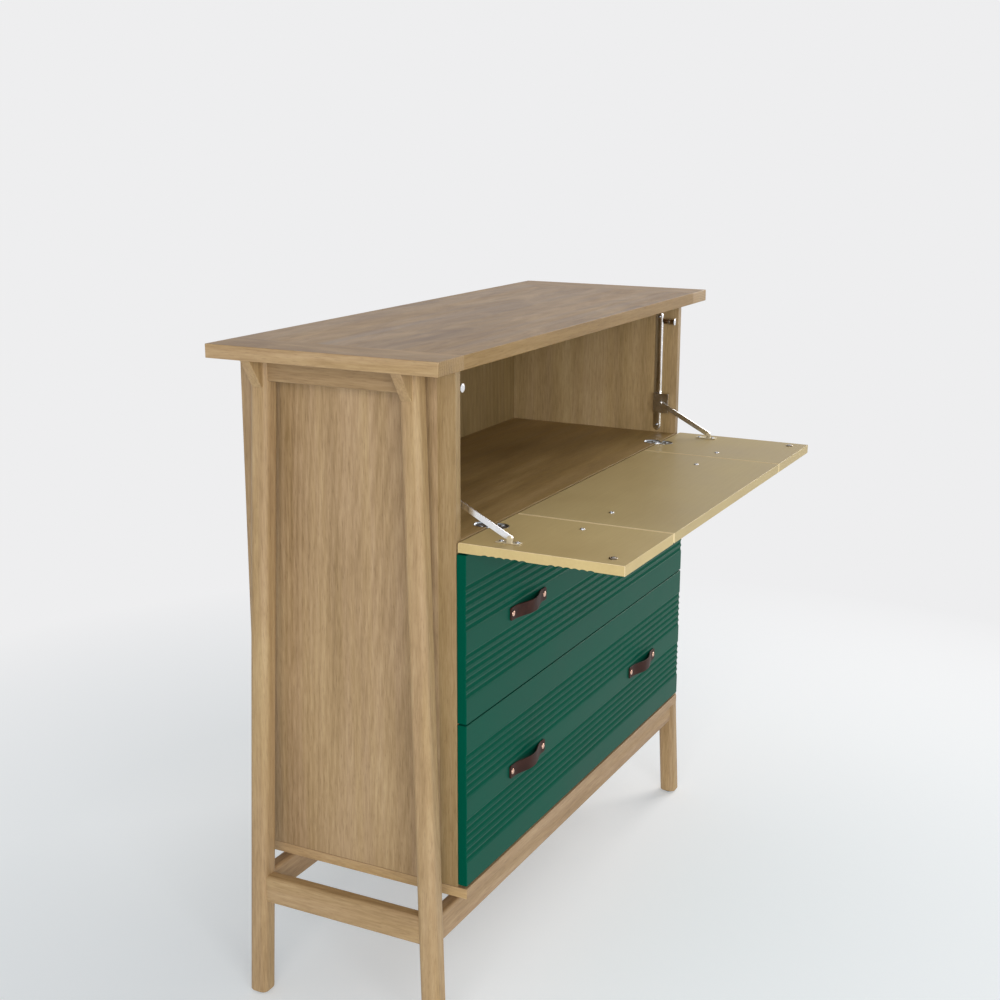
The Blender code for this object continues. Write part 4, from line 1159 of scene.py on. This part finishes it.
def build_catch(side):
    """A magnetic catch on a case side, with its ring and cap, and its strike on the flap."""
    node, strike = f"magnetic_catch_{side}", f"strike_{side}"
    low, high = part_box(strike)
    x, y = (low.x + high.x) / 2, (low.y + high.y) / 2
    radius, rise = (high.x - low.x) / 2, high.z - DESK_Z
    stud = turned(bmesh.new(), (x, y, DESK_Z), UP,
                  [(radius * out, rise * up) for out, up in STRIKE_PROFILE])
    for face in stud.faces:
        off = face.calc_center_median() - Vector((x, y, 0))
        face.material_index = 1 if off.xy.length > radius * STRIKE_RING_SHARE else 0
    dress(strike, stud, [NICKEL, DARK_METAL])
    low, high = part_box(node)
    z, tip = (low.z + high.z) / 2, (high.z - low.z) / 2
    length = high.y - low.y
    body = tip * CATCH_BODY_SHARE

    def lathe(*profile):
        return turned(bmesh.new(), (x, high.y, z), (0, -1, 0), profile)

    holder = lathe((body * 0.8, 0.0), (body, 0.0008), (body, length * 0.42),
                   (body * 0.9, length * 0.44), (body * 0.9, length * 0.60),
                   (body, length * 0.62), (body, length - 0.0035), (tip * 0.9, length - 0.0030),
                   (tip * 0.9, length - 0.0016), (body * 0.8, length - 0.0012))
    wall = high.x if side == "right" else low.x
    near, far = sorted((x + SIDES[side] * body * 0.5, wall))
    lug = board_mesh((near, high.y - LUG_FRONT, z - LUG_HALF),
                     (far, high.y - LUG_REAR, z + LUG_HALF), LUG_ROUNDING, 2)
    mesh = make_mesh("helper", lug)
    holder.from_mesh(mesh)
    bpy.data.meshes.remove(mesh)
    dress(node, holder, CATCH_METAL)
    ring = lathe((body * 0.92, length * 0.49), (body * 1.12, length * 0.50),
                 (body * 1.12, length * 0.55), (body * 0.92, length * 0.56))
    piece(f"catch_ring_{side}", ring, NICKEL, "cabinet", ())
    cap = lathe((tip * 0.7, length - 0.0016), (tip, length - 0.0013), (tip, length - 0.0005),
                (tip * 0.93, length - 0.0001), (tip * 0.5, length), (0.0, length))
    piece(f"catch_cap_{side}", cap, STEEL, "cabinet", ())


# Flap stays


def build_stay_rail(side):
    """A half-round steel strip with round ends, a screw near each."""
    sign = SIDES[side]
    node = f"stay_rail_{side}"
    low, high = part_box(node)
    middle_y, half = (low.y + high.y) / 2, (high.y - low.y) / 2
    wall = high.x if sign > 0 else low.x
    thick = high.x - low.x
    outline = [(low.z + half * (1 - cosine), half * max(sine, RAIL_TIP_SHARE))
               for cosine, sine in quarter(RAIL_END_STEPS)]
    outline += [(high.z - (z - low.z), width) for z, width in reversed(outline)]
    rings = []
    for z, width in outline:
        ring = [Vector((wall, middle_y + width, z)), Vector((wall, middle_y - width, z))]
        for step in range(RAIL_ARC_STEPS + 1):
            across = -1 + 2 * step / RAIL_ARC_STEPS
            bulge = (1 - RAIL_FLANK_SHARE) * math.sqrt(max(1 - across**2, 0.0))
            lift = thick * (RAIL_FLANK_SHARE + bulge)
            ring.append(Vector((wall - sign * lift, middle_y + across * width, z)))
        rings.append(ring)
    dress(node, loft(rings), RAIL_STEEL)
    places = [(wall - sign * thick * RAIL_SCREW_SHARE, middle_y, z)
              for z in (low.z + RAIL_SCREW_FROM_END, high.z - RAIL_SCREW_FROM_END)]
    build_screws(f"rail_screws_{side}", places, (-sign, 0, 0), RAIL_SCREW, "cabinet")


def build_stay(side):
    build_stay_rail(side)
    foot = f"stay_foot_{side}"
    dress_copy(f"stay_arm_{side}", STEEL, STAY_EDGE)
    dress_copy(f"stay_block_{side}", BLOCK_NICKEL, STAY_EDGE)
    dress_copy(foot, PLATE_STEEL, STAY_FOOT_EDGE)
    low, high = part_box(foot)
    places = [(SIDES[side] * FOOT_SCREW_X, y, DESK_Z + FOOT_PLATE)
              for y in (low.y + FOOT_SCREW_FROM_END, high.y - FOOT_SCREW_FROM_END)]
    build_screws(f"stay_foot_screws_{side}", places, UP, FOOT_SCREW, "flap")


def dress_copy(node, material, edge):
    """A copy of a CAD node's own form with its edges rounded."""
    bm = bmesh.new()
    bm.from_mesh(frame["nodes"][node].data)
    bmesh.ops.remove_doubles(bm, verts=bm.verts, dist=WELD_BELOW)
    bmesh.ops.dissolve_limit(bm, angle_limit=math.radians(FLAT_BELOW), verts=bm.verts,
                             edges=bm.edges)
    dress(node, soften(bm, edge, 2), material)


# Stage


def look_matrix(place, forward, roll=0.0):
    """Where a camera or lamp stands that looks along forward, rolled by some degrees."""
    forward = forward.normalized()
    right = Vector((forward.y, -forward.x, 0)).normalized()
    up = right.cross(forward)
    turn = math.radians(roll)
    right, up = (right * math.cos(turn) + up * math.sin(turn),
                 up * math.cos(turn) - right * math.sin(turn))
    matrix = Matrix((right, up, -forward)).transposed().to_4x4()
    matrix.translation = place
    return matrix


def heading(yaw, rise):
    """A direction from two angles in degrees: round from +X, and up."""
    yaw, rise = math.radians(yaw), math.radians(rise)
    return Vector((math.cos(yaw) * math.cos(rise), math.sin(yaw) * math.cos(rise), math.sin(rise)))


def build_camera():
    data = bpy.data.cameras.new("camera")
    data.sensor_width = SENSOR
    data.sensor_fit = "HORIZONTAL"
    data.lens = SENSOR * FOCAL_SHARE
    data.clip_end = CLIP_END
    camera = make_object("camera", data)
    forward = heading(CAMERA_YAW, -CAMERA_PITCH)
    camera.matrix_world = look_matrix(CAMERA_PLACE, forward, CAMERA_ROLL)
    bpy.context.scene.camera = camera


def seen_ray(graph):
    """1 for the rays that look at the stage: from the camera, a gloss or through glass."""
    rays = graph.add("ShaderNodeLightPath").outputs
    seen = graph.math("MAXIMUM", rays["Is Camera Ray"], rays["Is Glossy Ray"])
    return graph.math("MAXIMUM", seen, rays["Is Transmission Ray"])


def build_floor():
    """A floor that keeps the shadow near the object and fades into the backdrop beyond."""
    graph = Graph("floor")
    distance = graph.add("ShaderNodeVectorMath", operation="LENGTH")
    graph.put(distance.inputs[0], graph.place())
    fade = graph.spread(distance.outputs["Value"], FADE_START, FADE_END)
    matt = graph.make("ShaderNodeBsdfDiffuse", linear(FLOOR_ALBEDO))
    lift = graph.make("ShaderNodeEmission", linear(LIFT_TINT), FLOOR_LIFT)
    near = graph.make("ShaderNodeAddShader", matt, lift)
    far = graph.make("ShaderNodeEmission", linear(BACKDROP))
    faded = graph.make("ShaderNodeMixShader", fade, near, far)
    material = graph.show(graph.make("ShaderNodeMixShader", seen_ray(graph), near, faded))
    bm = bmesh.new()
    bmesh.ops.create_grid(bm, x_segments=1, y_segments=1, size=FLOOR_SIZE / 2)
    make_object("floor", make_mesh("floor", bm, [material]))


def build_world():
    """White light from all round, where the camera sees the backdrop's colour."""
    graph = Graph("studio", world=True)
    fill = graph.make("ShaderNodeBackground", (1.0, 1.0, 1.0, 1.0), WORLD_FILL)
    seen = graph.make("ShaderNodeBackground", linear(BACKDROP))
    mix = graph.make("ShaderNodeMixShader", seen_ray(graph), fill, seen)
    bpy.context.scene.world = graph.show(mix)


def build_lamp(name, azimuth, elevation, distance, size, power, colour):
    back = heading(azimuth - 90, elevation)
    data = bpy.data.lights.new(name, "AREA")
    data.shape = "SQUARE"
    data.size = size
    data.energy = power
    data.color = colour
    lamp = make_object(name, data)
    lamp.matrix_world = look_matrix(LAMP_TARGET + back * distance, -back)


build_leg_frames()
build_case()
for drawer in DRAWERS:
    build_drawer(drawer)
build_flap()
for hand in SIDES:
    build_hinge(hand)
    build_catch(hand)
    build_stay(hand)
build_camera()
build_floor()
build_world()
for lamp_name, lamp_values in LAMPS.items():
    build_lamp(lamp_name, *lamp_values)

settings = bpy.context.scene.view_settings
settings.view_transform = "Standard"
